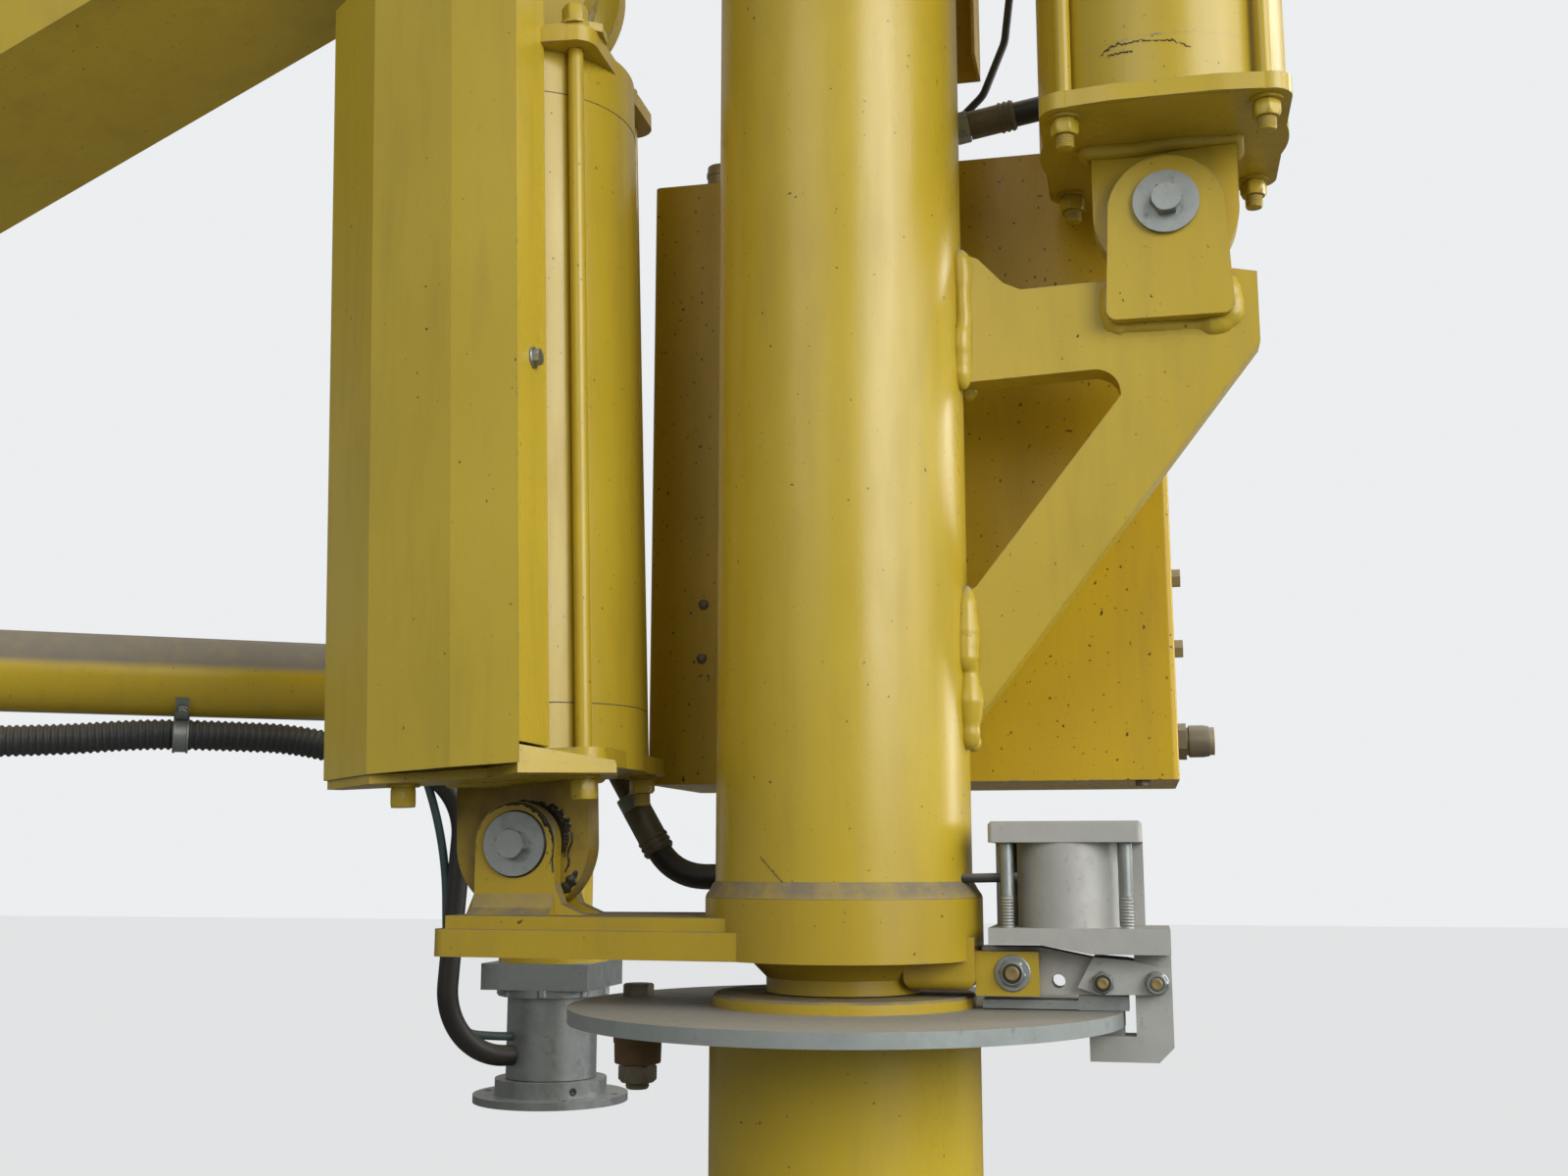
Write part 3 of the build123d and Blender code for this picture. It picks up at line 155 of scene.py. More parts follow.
def worn_paint(
    name, paint, deep, dust_from=0.35, dust_ramp=0.5, dust_least=0.45, dust_tone="#89867d",
    chip_amount=1.0, grime=0.0, sheen=1.5, specks=0.755,
):
    """Two-pack enamel sprayed on steel: flat yellow with a slightly uneven gloss, matt grey dust
    where a face looks up, small chips down to the grey steel, and brown grease where grime is set."""
    material, tree, shader, place = new_material(name)
    spot = place.outputs["Object"]
    up = add(tree, "SeparateXYZ", {0: place.outputs["Normal"]}).outputs["Z"]
    # Uneven coat, about 150 mm from patch to patch
    colour = tinted(tree, noise(tree, spot, 6.5, 3.0, 0.55), deep, paint)
    # Fine specks of dirt caught in the coat, 2 to 4 mm, drawn as coarse as the render can show
    speck_mask = ramp(tree, noise(tree, spot, 210.0, 1.0, 0.4), specks, specks + 0.05)
    # Smears of handling, long and upright, 30 mm wide
    stretched = add(tree, "Mapping", {"Vector": spot, "Scale": (1.0, 1.0, 0.16)})
    smear = noise(tree, stretched.outputs[0], 28.0, 4.0, 0.6)
    colour = tinted(tree, ramp(tree, smear, 0.50, 0.78, 0.0, 0.26), colour, "#7d6a2f")
    colour = tinted(tree, speck_mask, colour, "#5b4716")
    # Dust settles on faces that look up, in patches
    facing_up = ramp(tree, up, dust_from, dust_from + dust_ramp)
    patchy = ramp(tree, noise(tree, spot, 38.0, 5.0, 0.65), 0.30, 0.58, dust_least)
    dust = times(tree, times(tree, facing_up, patchy), 0.93)
    # Chips sit along edges: where a 3 mm rounded normal differs from the true one
    edge = add(tree, "Bevel", {"Radius": 0.0028}, samples=4)
    true_normal = add(tree, "NewGeometry").outputs["True Normal"]
    level = add(tree, "VectorMath", {0: edge.outputs[0], 1: true_normal}, operation="DOT_PRODUCT")
    on_edge = ramp(tree, level.outputs["Value"], 0.985, 0.86)
    bite = noise(tree, spot, 62.0, 6.0, 0.7)
    chip = times(tree, on_edge, ramp(tree, bite, 0.60 - 0.04 * chip_amount, 0.64))
    colour = tinted(tree, times(tree, on_edge, 0.22), colour, "#8a7c58")
    colour = tinted(tree, dust, colour, dust_tone)
    colour = tinted(tree, chip, colour, "#77756c")
    if grime:
        film = ramp(tree, noise(tree, spot, 24.0, 5.0), 0.62 - grime * 0.3, 0.74)
        colour = tinted(tree, times(tree, film, 0.8), colour, "#2d2410")
    gloss = ramp(tree, smear, 0.3, 0.7, 0.24, 0.40)
    tree.links.new(mixed(tree, dust, gloss, 0.92), shader.inputs["Roughness"])
    # Orange peel of the sprayed coat, 3 mm waves, under the finer grain of the dust
    relief = mixed(tree, dust, noise(tree, spot, 330.0, 1.0), noise(tree, spot, 900.0, 2.0))
    wire(tree, shader, colour, relief, 0.12, 0.0006)
    shader.inputs["IOR"].default_value = sheen
    return material


def bare_metal(name, light, dark, roughness, dust_amount=0.6, metallic=1.0, stain="#5f5a50"):
    """Bare or plated metal: cloudy grey with stains, dulled by dust where it looks up."""
    material, tree, shader, place = new_material(name)
    spot = place.outputs["Object"]
    up = add(tree, "SeparateXYZ", {0: place.outputs["Normal"]}).outputs["Z"]
    colour = tinted(tree, noise(tree, spot, 40.0, 5.0, 0.6), dark, light)
    spots = noise(tree, spot, 95.0, 6.0, 0.7)
    colour = tinted(tree, ramp(tree, spots, 0.61, 0.74, 0.0, 0.5), colour, stain)
    dust = times(tree, ramp(tree, up, 0.3, 0.9), dust_amount)
    colour = tinted(tree, dust, colour, "#8f8a80")
    bare = add(tree, "Math", {0: 1.0, 1: dust}, operation="SUBTRACT").outputs[0]
    tree.links.new(times(tree, bare, metallic), shader.inputs["Metallic"])
    rough = ramp(tree, spots, 0.3, 0.75, roughness - 0.08, min(roughness + 0.28, 1))
    tree.links.new(rough, shader.inputs["Roughness"])
    wire(tree, shader, colour, spots, 0.15, 0.0005)
    return material


def dull_plastic(name, light, dark, roughness, dust_amount=0.5):
    """Rubber or plastic: one dark tone, matt, greyed by dust on its upper side."""
    material, tree, shader, place = new_material(name)
    up = add(tree, "SeparateXYZ", {0: place.outputs["Normal"]}).outputs["Z"]
    cloud = noise(tree, place.outputs["Object"], 60.0, 4.0, 0.6)
    dust = ramp(tree, up, 0.1, 1.0, 0.0, dust_amount)
    colour = tinted(tree, dust, tinted(tree, cloud, dark, light), "#7c776c")
    wire(tree, shader, colour, cloud, 0.1, 0.0005)
    shader.inputs["Roughness"].default_value = roughness
    return material


# Two-pack enamel, sprayed: satin mustard yellow, dusty on top, chipped on the edges
yellow = worn_paint("yellow_enamel", "#bca430", "#ac9224")
# The same enamel where dust lies on every slope: the slewing base and its spindle, the front foot's ears and the weld
# at the mast's foot
yellow_dusty = worn_paint("yellow_enamel_dusty", "#b1982a", "#9f851e", dust_from=0.05, dust_tone="#6f685a")
# The same enamel on the folded guard, with fewer specks, and painted a little paler than the rest as painted light for
# its brighter lit facets
yellow_guard_painted_light = worn_paint("yellow_enamel_guard_painted_light", "#c8b03a", "#b9a02e", specks=0.775)
# The same enamel on the forearm, under a thick grey layer of dust; its yellow is painted a little brighter than the
# rest as painted light
yellow_forearm_painted_light = worn_paint(
    "yellow_enamel_forearm_painted_light", "#c9ae2c", "#b79a1f", dust_from=0.06, dust_ramp=0.20, dust_least=0.88, dust_tone="#79746d"
)
# The same enamel on the box behind, with more specks and chips, and painted a little brighter and more saturated as
# painted light, to make up for the shade it lies in
yellow_box_painted_light = worn_paint(
    "yellow_enamel_specked_painted_light", "#c2a328", "#b3921d", chip_amount=1.5, sheen=1.33, specks=0.71
)
# The same enamel round the greased pivots
yellow_greasy = worn_paint("yellow_enamel_greasy", "#a78e29", "#8e741c", grime=0.8)
# Zinc plating on steel, passivated: pale blue grey, dull
zinc = bare_metal("zinc_plating", "#a9aeaa", "#8b908d", 0.42)
# Zinc-rich coat on the brake disc, dusty on top, pale on its rim
disc_zinc = bare_metal("disc_zinc_coat", "#9aa09d", "#868c88", 0.55, dust_amount=0.85, metallic=0.4)
# Anodised and cast aluminium of the brake: pale warm grey, satin
aluminium = bare_metal("satin_aluminium", "#b3b3ad", "#a0a09a", 0.50, metallic=0.40, dust_amount=0.8)
# Hard chrome on the piston rods: mirror bright under a film of dust
chrome = bare_metal("hard_chrome", "#d4d6d8", "#c2c5c8", 0.14, dust_amount=0.3, stain="#8f8f8f")
# Zinc-iron fittings of the hoses, gone brown and oily
fitting = bare_metal("oily_fitting", "#7d7562", "#565042", 0.45, metallic=0.4, dust_amount=0.5)
# Brass caps, dull and dusty
brass = bare_metal("dull_brass", "#a79a78", "#8a7c5c", 0.5, metallic=0.6, dust_amount=0.7)
# Natural rubber of the stop buffer: dark brown, matt
rubber = dull_plastic("brown_rubber", "#6e5330", "#4b3a20", 0.8)
# Hose rubber, smooth and black
hose_rubber = dull_plastic("hose_rubber", "#2c2a25", "#1a1916", 0.5, dust_amount=0.55)
# Polyamide conduit: black, greyed by dust
conduit_black = dull_plastic("black_conduit", "#3a3d3c", "#262928", 0.5, dust_amount=0.9)
# Grease, dark and wet
grease = dull_plastic("dark_grease", "#2a210f", "#171208", 0.3, dust_amount=0.15)
# Cast aluminium of the tool end, greyer and rougher than the brake's
tool_casting = bare_metal("tool_end_casting", "#a0a4a2", "#858988", 0.36, metallic=0.75, dust_amount=0.5)
# Anodised air hose beside the black one at the tool end: dull teal grey
teal_hose = dull_plastic("teal_air_hose", "#46615f", "#34494a", 0.5, dust_amount=0.5)
# Yellow passivated bolt ends of the brake, brassy brown
bolt_end = bare_metal("yellow_zinc_bolt_end", "#a08a5c", "#7f6c46", 0.45, metallic=0.6, dust_amount=0.3)
# Nylon insert of a lock nut, dark with oil
nylon = dull_plastic("oily_nylon", "#2f332f", "#1d211f", 0.4, dust_amount=0.2)

SLOT_FINISH = {
    "yellow_paint": yellow,
    "zinc_steel": zinc,
    "pale_aluminium": aluminium,
    "rod_chrome": chrome,
    "bumper_rubber": rubber,
    "brass_fitting": brass,
    "hose_rubber": hose_rubber,
}
NODE_FINISH = {
    "brake_disc": disc_zinc,
    "control_box": yellow_box_painted_light,
    "box_brackets": yellow_box_painted_light,
    "mast_duct": yellow_box_painted_light,
    "left_foot_lug": yellow_greasy,
    "left_foot_ears": yellow_dusty,
    "swivel_base": yellow_dusty,
    "slew_spindle": yellow_dusty,
    "forearm_tube": yellow_forearm_painted_light,
    "guard_shell": yellow_guard_painted_light,
    "left_fitting": fitting,
    "right_fitting": fitting,
    "tool_housing": tool_casting,
    "tool_flange": tool_casting,
    "forearm_conduit": conduit_black,
}
slot_of = {s["node"]: s["material_slot"] for s in frame["record"]["subparts"]}
for name, piece in nodes.items():
    finish = NODE_FINISH.get(name, SLOT_FINISH[slot_of[name]])
    if not piece.material_slots:
        piece.data.materials.append(finish)
    for slot in piece.material_slots:
        slot.material = finish


# ---------------------------------------------------------------- stage, light, camera
def stage_surface(name, corners):
    """A flat four-cornered surface of the stage."""
    mesh = bpy.data.meshes.new(name)
    mesh.from_pydata(corners, [], [(0, 1, 2, 3)])
    surface = bpy.data.objects.new(name, mesh)
    bpy.context.collection.objects.link(surface)
    return surface


floor = stage_surface("floor", [(-40, -40, 0), (40, -40, 0), (40, 40, 0), (-40, 40, 0)])
floor_paint, floor_tree, floor_shader, _ = new_material("pale_floor")
floor.data.materials.append(floor_paint)
floor_shader.inputs["Base Color"].default_value = linear("#7d7d7a")
floor_shader.inputs["Roughness"].default_value = 0.9
# The camera sees the floor about as pale as the wall behind, with the shadows left in
floor_out = next(n for n in floor_tree.nodes if n.type == "OUTPUT_MATERIAL")
floor_rays = add(floor_tree, "LightPath")
floor_seen = add(floor_tree, "Math", {0: floor_rays.outputs["Is Camera Ray"], 1: 0.82}, operation="MULTIPLY")
floor_pale = add(floor_tree, "Emission", {"Color": linear("#f4f5f6"), "Strength": 1.0})
floor_mix = add(
    floor_tree, "MixShader", {0: floor_seen.outputs[0], 1: floor_shader.outputs[0], 2: floor_pale.outputs[0]}
)
floor_tree.links.new(floor_mix.outputs[0], floor_out.inputs["Surface"])

world = bpy.data.worlds.new("pale_room")
bpy.context.scene.world = world
world.use_nodes = True
sky = world.node_tree
background = next(n for n in sky.nodes if n.type == "BACKGROUND")
output = next(n for n in sky.nodes if n.type == "OUTPUT_WORLD")
background.inputs["Color"].default_value = linear("#ffffff")
background.inputs["Strength"].default_value = 0.36
pale = add(sky, "Background", {"Color": linear("#eceef0"), "Strength": 1.0})
rays = add(sky, "LightPath")
seen = add(
    sky,
    "Math",
    {0: rays.outputs["Is Camera Ray"], 1: rays.outputs["Is Transmission Ray"]},
    operation="MAXIMUM",
)
choice = add(sky, "MixShader", {0: seen.outputs[0], 1: background.outputs[0], 2: pale.outputs[0]})
sky.links.new(choice.outputs[0], output.inputs["Surface"])


def soft_box(name, place, target, width, height, power):
    """A rectangular lamp at place that looks at target."""
    data = bpy.data.lights.new(name, "AREA")
    data.shape = "RECTANGLE"
    data.size, data.size_y, data.energy = width, height, power
    lamp = bpy.data.objects.new(name, data)
    bpy.context.collection.objects.link(lamp)
    lamp.location = place
    lamp.rotation_euler = (Vector(target) - Vector(place)).to_track_quat("-Z", "Y").to_euler()
    return lamp


soft_box("hall_windows_right", (3.6, -3.6, 3.6), (0, 0, 1.9), 2.6, 3.6, 185)
soft_box("hall_windows_front", (-1.5, -4.5, 3.8), (-0.2, 0, 1.8), 3.0, 2.4, 42)
soft_box("bright_wall_right", (4.5, -1.3, 3.5), (0, 0, 1.9), 3.4, 3.0, 112)
soft_box("window_strip_right", (2.6, 1.7, 3.0), (0, 0, 1.9), 0.8, 3.3, 55)
soft_box("roof_light", (0.0, 1.0, 6.5), (0, 0, 1.5), 4.0, 4.0, 80)

camera_data = bpy.data.cameras.new("photo_camera")
camera_data.sensor_width = 36.0
camera_data.lens = 37.24
camera_data.clip_end = 100
camera = bpy.data.objects.new("photo_camera", camera_data)
bpy.context.collection.objects.link(camera)
camera.location = (0.2505, -1.3885, 1.5)
camera.rotation_euler = (radians(99.6), 0, radians(12.3))
bpy.context.scene.camera = camera
bpy.context.scene.view_settings.view_transform = "Standard"


# ---------------------------------------------------------------- surfaces
def keep(name, surface, body, finish, crease=35):
    """Puts a (points, faces) surface into one mesh piece that rides on a body."""
    points, faces = surface
    mesh = bpy.data.meshes.new(name)
    mesh.from_pydata(points.tolist(), [], faces.tolist())
    mesh.materials.append(finish)
    mesh.polygons.foreach_set("use_smooth", [True] * len(mesh.polygons))
    mesh.update()
    mesh.set_sharp_from_angle(angle=radians(crease))
    piece = bpy.data.objects.new(name, mesh)
    bpy.context.collection.objects.link(piece)
    if body:
        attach(piece, body)
    return piece


def grid_faces(rows, columns, closed):
    """Quads of a rows by columns grid; closed joins the last column to the first."""
    across = columns if closed else columns - 1
    i, j = np.meshgrid(np.arange(rows - 1), np.arange(across), indexing="ij")
    k = (j + 1) % columns
    corners = (i * columns + j, i * columns + k, (i + 1) * columns + k, (i + 1) * columns + j)
    return np.stack(corners, -1).reshape(-1, 4)


def frame_at(place, axis):
    """Unit vectors u, v, w with w along the axis, for turning flat profiles into place."""
    w = Vector(axis).normalized()
    u = w.orthogonal().normalized() if abs(w.x) > 0.9 else (Vector((1, 0, 0)) - w * w.x).normalized()
    return np.array(place, float), np.array(u), np.array(w.cross(u)), np.array(w)


def turned(profile, place, axis, steps=32, flats=0.0, spin=0.0):
    """A profile of (radius, height) turned about an axis: radius r and angle a give the point
    r cos a, r sin a. With flats, the radius is also held inside a hexagon of that half width,
    so a turned cone over a hexagon gives the chamfered corners of a bolt head."""
    origin, u, v, w = frame_at(place, axis)
    profile = np.array(profile, float)
    a = np.linspace(0, tau, steps, endpoint=False) + spin
    radius = np.repeat(profile[:, :1], steps, 1)
    if flats:
        hexagon = flats / np.cos((a - spin + pi / 6) % (pi / 3) - pi / 6)
        radius = np.minimum(radius, np.where(radius > 1e-6, hexagon, radius))
    ring = radius[..., None] * (np.cos(a)[:, None] * u + np.sin(a)[:, None] * v)
    points = origin + ring + profile[:, 1][:, None, None] * w
    return points.reshape(-1, 3), grid_faces(len(profile), steps, True)


def joined(parts):
    """Several (points, faces) pairs as one pair."""
    offset = np.cumsum([0] + [len(p) for p, _ in parts[:-1]])
    points = np.concatenate([p for p, _ in parts])
    faces = np.concatenate([f + n for (_, f), n in zip(parts, offset)])
    return points, faces


HALF_FLATS = {
    0.006: 0.005, 0.008: 0.0065, 0.010: 0.008, 0.012: 0.009, 0.014: 0.0105, 0.016: 0.012, 0.020: 0.015, 0.024: 0.018
}


def bolt_head(place, axis, size, washer=0.0, spin=0.3, high=0.0):
    """Hexagon head of a bolt of that thread size, its washer under it, from the face at place."""
    flat = HALF_FLATS[size]
    high = high or 0.65 * size
    parts, base = [], 0.0
    if washer:
        thick = 0.16 * size + 0.001
        rim = washer - 0.0006
        parts.append(
            turned([(0, 0), (washer, 0), (washer, thick - 0.0006), (rim, thick), (0, thick)], place, axis, 40)
        )
        base = thick
    corner = flat / cos(pi / 6)
    head = [
        (0, base),
        (corner, base),
        (corner, base + high * 0.88),
        (flat * 1.03, base + high),
        (0, base + high),
    ]
    parts.append(turned(head, place, axis, 48, flat, spin))
    return joined(parts)


def nut_on_stud(place, axis, size, stud_end, spin=0.2, washer=0.0, high=0.0):
    """Hexagon nut on a threaded stud that stands out past it, with its washer."""
    flat = HALF_FLATS[size]
    high = high or 0.85 * size
    corner = flat / cos(pi / 6)
    parts, base = [], 0.0
    if washer:
        parts.append(turned([(0, 0), (washer, 0), (washer, 0.0025), (0, 0.0025)], place, axis, 32))
        base = 0.0025
    nut = [
        (0, base),
        (flat * 0.97, base),
        (corner, base + high * 0.16),
        (corner, base + high * 0.84),
        (flat * 0.97, base + high),
        (0, base + high),
    ]
    parts.append(turned(nut, place, axis, 48, flat, spin))
    top = base + high + stud_end
    parts.append(threaded(place, axis, size / 2 + 0.0009, base + high - 0.001, top))
    return joined(parts)


def threaded(place, axis, radius, foot, top, pitch=0.002):
    """The end of a threaded rod: rings that go in and out by the depth of the thread, then a
    chamfered end."""
    rings = np.arange(foot, top - 0.0015, pitch / 2)
    depth = 0.0008 * (np.arange(len(rings)) % 2)
    thread = [(0, foot), *zip(radius - depth, rings)]
    thread += [(radius - 0.0009, top - 0.0009), (radius - 0.0022, top), (0, top)]
    return turned(thread, place, axis, 20)


def lock_nut(place, axis, flat, high, washer, spin=0.2):
    """Lock nut whose round collar holds a nylon ring: hexagon, then a turned collar."""
    parts, base = [], 0.0
    if washer:
        rim = [(0, 0), (washer, 0), (washer, 0.0014), (washer - 0.0008, 0.002), (0, 0.002)]
        parts.append(turned(rim, place, axis, 40))
        base = 0.002
    corner = flat / cos(pi / 6)
    hexagon = [
        (0, base), (corner, base), (corner, base + high * 0.5), (flat * 0.95, base + high * 0.72),
        (0, base + high * 0.72)
    ]
    parts.append(turned(hexagon, place, axis, 48, flat, spin))
    inner = flat * 0.80
    collar = [
        (0, base + high * 0.6),
        (flat * 0.93, base + high * 0.6),
        (flat * 0.93, base + high * 0.9),
        (flat * 0.87, base + high),
        (inner, base + high),
        (inner, base + high * 0.92),
        (0, base + high * 0.92),
    ]
    parts.append(turned(collar, place, axis, 40))
    return joined(parts)


def socket_screw(place, axis, size):
    """Cap screw: a turned head 1.5 threads wide, with its key hole sunk in as a hexagon."""
    radius, key = 0.75 * size, 0.43 * size
    head = turned(
        [(0, 0), (radius, 0), (radius, size * 0.92), (radius - 0.0008, size), (key, size), (key, size)],
        place, axis, 36,
    )
    hole = turned([(key * 1.16, size), (key * 1.16, size * 0.45), (0, size * 0.45)], place, axis, 36, key)
    return joined([head, hole])


def along_path(path, radius, steps=12, closed=False, squeeze=1.0, normal=(0, 0, 1), capped=True):
    """A round section carried along a path: at each point the section lies square to the path's
    direction, and its two axes come from the direction and the given normal."""
    path = np.array(path, float)
    ahead = np.roll(path, -1, 0) - np.roll(path, 1, 0) if closed else np.gradient(path, axis=0)
    t = ahead / np.linalg.norm(ahead, axis=1)[:, None]
    side = np.cross(np.broadcast_to(normal, t.shape), t)
    side /= np.maximum(np.linalg.norm(side, axis=1), 1e-9)[:, None]
    over = np.cross(t, side)
    a = np.linspace(0, tau, steps, endpoint=False)
    radius = np.broadcast_to(np.asarray(radius, float), (len(path),))
    section = np.cos(a)[None, :, None] * side[:, None] + squeeze * np.sin(a)[None, :, None] * over[:, None]
    points = path[:, None] + radius[:, None, None] * section
    if closed:
        points = np.concatenate([points, points[:1]])
    elif capped:
        points = np.concatenate([path[:1, None].repeat(steps, 1), points, path[-1:, None].repeat(steps, 1)])
    return points.reshape(-1, 3), grid_faces(len(points), steps, True)


def wander(run, spacing, seed, closed=False):
    """Four rows of smooth noise along a run of lengths: random values a spacing apart, eased from
    one to the next by 3 f^2 - 2 f^3."""
    knots = max(int(run[-1] / spacing), 3)
    values = np.random.default_rng(seed).normal(size=(4, knots + 1))
    if closed:
        values[:, -1] = values[:, 0]
    place = run / run[-1] * knots
    first = np.minimum(place.astype(int), knots - 1)
    f = place - first
    f = f * f * (3 - 2 * f)
    return values[:, first] * (1 - f) + values[:, first + 1] * f


def weld_bead(path, size, closed=False, seed=0, normal=(0, 0, 1), lump=0.0):
    """A weld seam: a round bead that ripples every few millimetres and wanders a little, and runs
    out round at both ends. With lump, it swells and sinks over that length instead."""
    path = np.array(path, float)
    length = np.concatenate([[0], np.cumsum(np.linalg.norm(np.diff(path, axis=0), axis=1))])
    count = max(int(length[-1] / (size * (0.12 if lump else 0.3))), 8)
    even = np.linspace(0, length[-1], count, endpoint=not closed)
    fine = np.stack([np.interp(even, length, path[:, k]) for k in range(3)], 1)
    slow = wander(even, lump or 2.2 * size, seed, closed)
    ripple, swell = (0.012, 0.17) if lump else (0.09, 0.08)
    width = 1 + ripple * np.sin(even / size * 5.0) + swell * slow[3]
    if not closed:
        end = np.clip(np.minimum(even, length[-1] - even) / (size * (1.8 if lump else 1)), 0, 1)
        width *= np.sqrt(np.clip(1 - (1 - end) ** 2, 0.02, 1))
    fine = fine + (0.16 if lump else 0.05) * size * slow[:3].T
    return along_path(fine, size * np.clip(width, 0.05, 1.5), 14, closed, normal=normal)


def circle(centre, radius, axis=(0, 0, 1), steps=120, start=0.0, sweep=tau):
    """Points of a circle, or of an arc of it, about an axis."""
    origin, u, v, w = frame_at(centre, axis)
    a = np.linspace(start, start + sweep, steps)
    return origin + radius * (np.cos(a)[:, None] * u + np.sin(a)[:, None] * v)


def band(path, width_axis, width, thick):
    """Flat strip bent along a path: at each point a rectangle, as wide as given along one fixed
    axis and as thick as given square to that axis and to the path."""
    path = np.array(path, float)
    t = np.gradient(path, axis=0)
    t /= np.linalg.norm(t, axis=1)[:, None]
    wide = np.broadcast_to(np.array(Vector(width_axis).normalized()), t.shape)
    over = np.cross(t, wide)
    over /= np.linalg.norm(over, axis=1)[:, None]
    corners = [(-1, -1), (1, -1), (1, 1), (-1, 1)]
    section = np.stack([path + a * width / 2 * wide + b * thick / 2 * over for a, b in corners], 1)
    section = np.concatenate([path[:1, None].repeat(4, 1), section, path[-1:, None].repeat(4, 1)])
    return section.reshape(-1, 3), grid_faces(len(section), 4, True)


def led_through(points, step):
    """Places an even step apart on the smooth line of a route, a quadratic NURBS spline that has
    the route's points as its control points."""
    data = bpy.data.curves.new("route", "CURVE")
    data.dimensions = "3D"
    data.resolution_u = 24
    spline = data.splines.new("NURBS")
    spline.points.add(len(points) - 1)
    spline.points.foreach_set("co", np.append(np.array(points), np.ones((len(points), 1)), 1).ravel())
    spline.order_u = 3
    spline.use_endpoint_u = True
    mesh = bpy.data.meshes.new_from_object(bpy.data.objects.new("route", data))
    line = np.empty(3 * len(mesh.vertices))
    mesh.vertices.foreach_get("co", line)
    line = line.reshape(-1, 3)
    bpy.data.objects.remove(bpy.data.objects["route"])
    bpy.data.curves.remove(data)
    bpy.data.meshes.remove(mesh)
    run = np.concatenate([[0], np.cumsum(np.linalg.norm(np.diff(line, axis=0), axis=1))])
    even = np.linspace(0, run[-1], max(int(run[-1] / step), 8))
    return np.stack([np.interp(even, run, line[:, k]) for k in range(3)], 1), even


def both(y_front, build):
    """The same fastening on the two faces y_front and its mirror, each facing out."""
    return [build(-abs(y_front), (0, -1, 0)), build(abs(y_front), (0, 1, 0))]


# ---------------------------------------------------------------- column and base
anchors = [
    nut_on_stud(
        (ANCHOR_RING * cos(a), ANCHOR_RING * sin(a), 0.030), (0, 0, 1), 0.024, 0.014, spin=3 * a,
        washer=0.025
    )
    for a in tau / 8 * np.arange(8)
]
keep("anchor_nuts", joined(anchors), "column", zinc)

base_seams = [
    weld_bead(circle((0, 0, 0.0315), COLUMN_R + 0.0015), 0.0055, True, 1),
    weld_bead(circle((0, 0, 1.3685), COLUMN_R + 0.0015), 0.004, True, 2),
]
for k in range(8):
    turn = tau / 8 * (k + 0.5)
    out, aside = np.array((cos(turn), sin(turn), 0)), np.array((-sin(turn), cos(turn), 0))
    for face in (-0.009, 0.009):
        upright = [out * (COLUMN_R + 0.0015) + aside * face + (0, 0, z) for z in (0.034, 0.205)]
        lying = [out * r + aside * face + (0, 0, 0.0315) for r in (0.120, 0.231)]
        base_seams += [
            weld_bead(upright, 0.0038, seed=10 + k, normal=aside),
            weld_bead(lying, 0.0038, seed=30 + k),
        ]
keep("base_welds", joined(base_seams), "column", yellow, 60)

STOP = Vector((STOP_RING * cos(STOP_TURN), STOP_RING * sin(STOP_TURN), 0))
stop_head = bolt_head(STOP + Vector((0, 0, DISC_TOP)), (0, 0, 1), 0.016, spin=0.9)
keep("stop_bolt_head", stop_head, "column", fitting)
# The buffer tapers down from the disc, its sides a little hollow where the rubber has set
buffer_profile = [
    (0, -0.0470), (
        0.0202, -0.0470
    ), (0.0208, -0.0462), (0.0213, -0.0300), (0.0219, -0.0150), (0.0226, -0.0004), (0, -0.0004)
]
buffer_skin = turned(buffer_profile, STOP + Vector((0, 0, 1.370)), (0, 0, 1), 56)
keep("stop_rubber_skin", buffer_skin, "column", rubber, 60)
stop_nut = nut_on_stud(STOP + Vector((0, 0, 1.323)), (0, 0, -1), 0.020, 0.006, spin=0.35, high=0.0165)
keep("stop_nut", stop_nut, "column", fitting)

# ---------------------------------------------------------------- mast foot, ears and bracket
# Fillet weld round the mast's foot: a hollow cone, 8 mm out and 12 mm up, with a slow ripple
foot_points, foot_faces = turned(
    [
        (0.1090, 0.0002), (0.1178, 0.0002), (0.1172, 0.0022), (0.1143, 0.0062), (0.1118, 0.0108),
        (0.1096, 0.0135), (0.1085, 0.0135)
    ],
    (0, 0, HUB_TOP), (0, 0, 1), 144,
)
foot_turn = np.arctan2(foot_points[:, 1], foot_points[:, 0])
foot_points[:, :2] *= (1 + 0.0028 * np.sin(47 * foot_turn) * (foot_points[:, 2] > HUB_TOP + 0.001))[:, None]
keep("mast_foot_weld", (foot_points, foot_faces), "mast", yellow_dusty, 50)

pin_bolts = []
for pin, spin in ((LEFT_PIN, 0.25), (RIGHT_PIN, 0.6)):
    pin_bolts += [
        bolt_head((pin.x, -0.035, pin.z), (0, -1, 0), 0.016, spin=spin),
        nut_on_stud((pin.x, 0.035, pin.z), (0, 1, 0), 0.016, 0.006, spin=spin),
    ]
keep("foot_pin_bolts", joined(pin_bolts), "mast", zinc)


def pin_circle(turn, reach, y):
    """Places round the front pin: reach out from it at each turn, at a depth y."""
    return np.stack([LEFT_PIN.x + reach * np.cos(turn), y + 0 * turn, LEFT_PIN.z + reach * np.sin(turn)], 1)
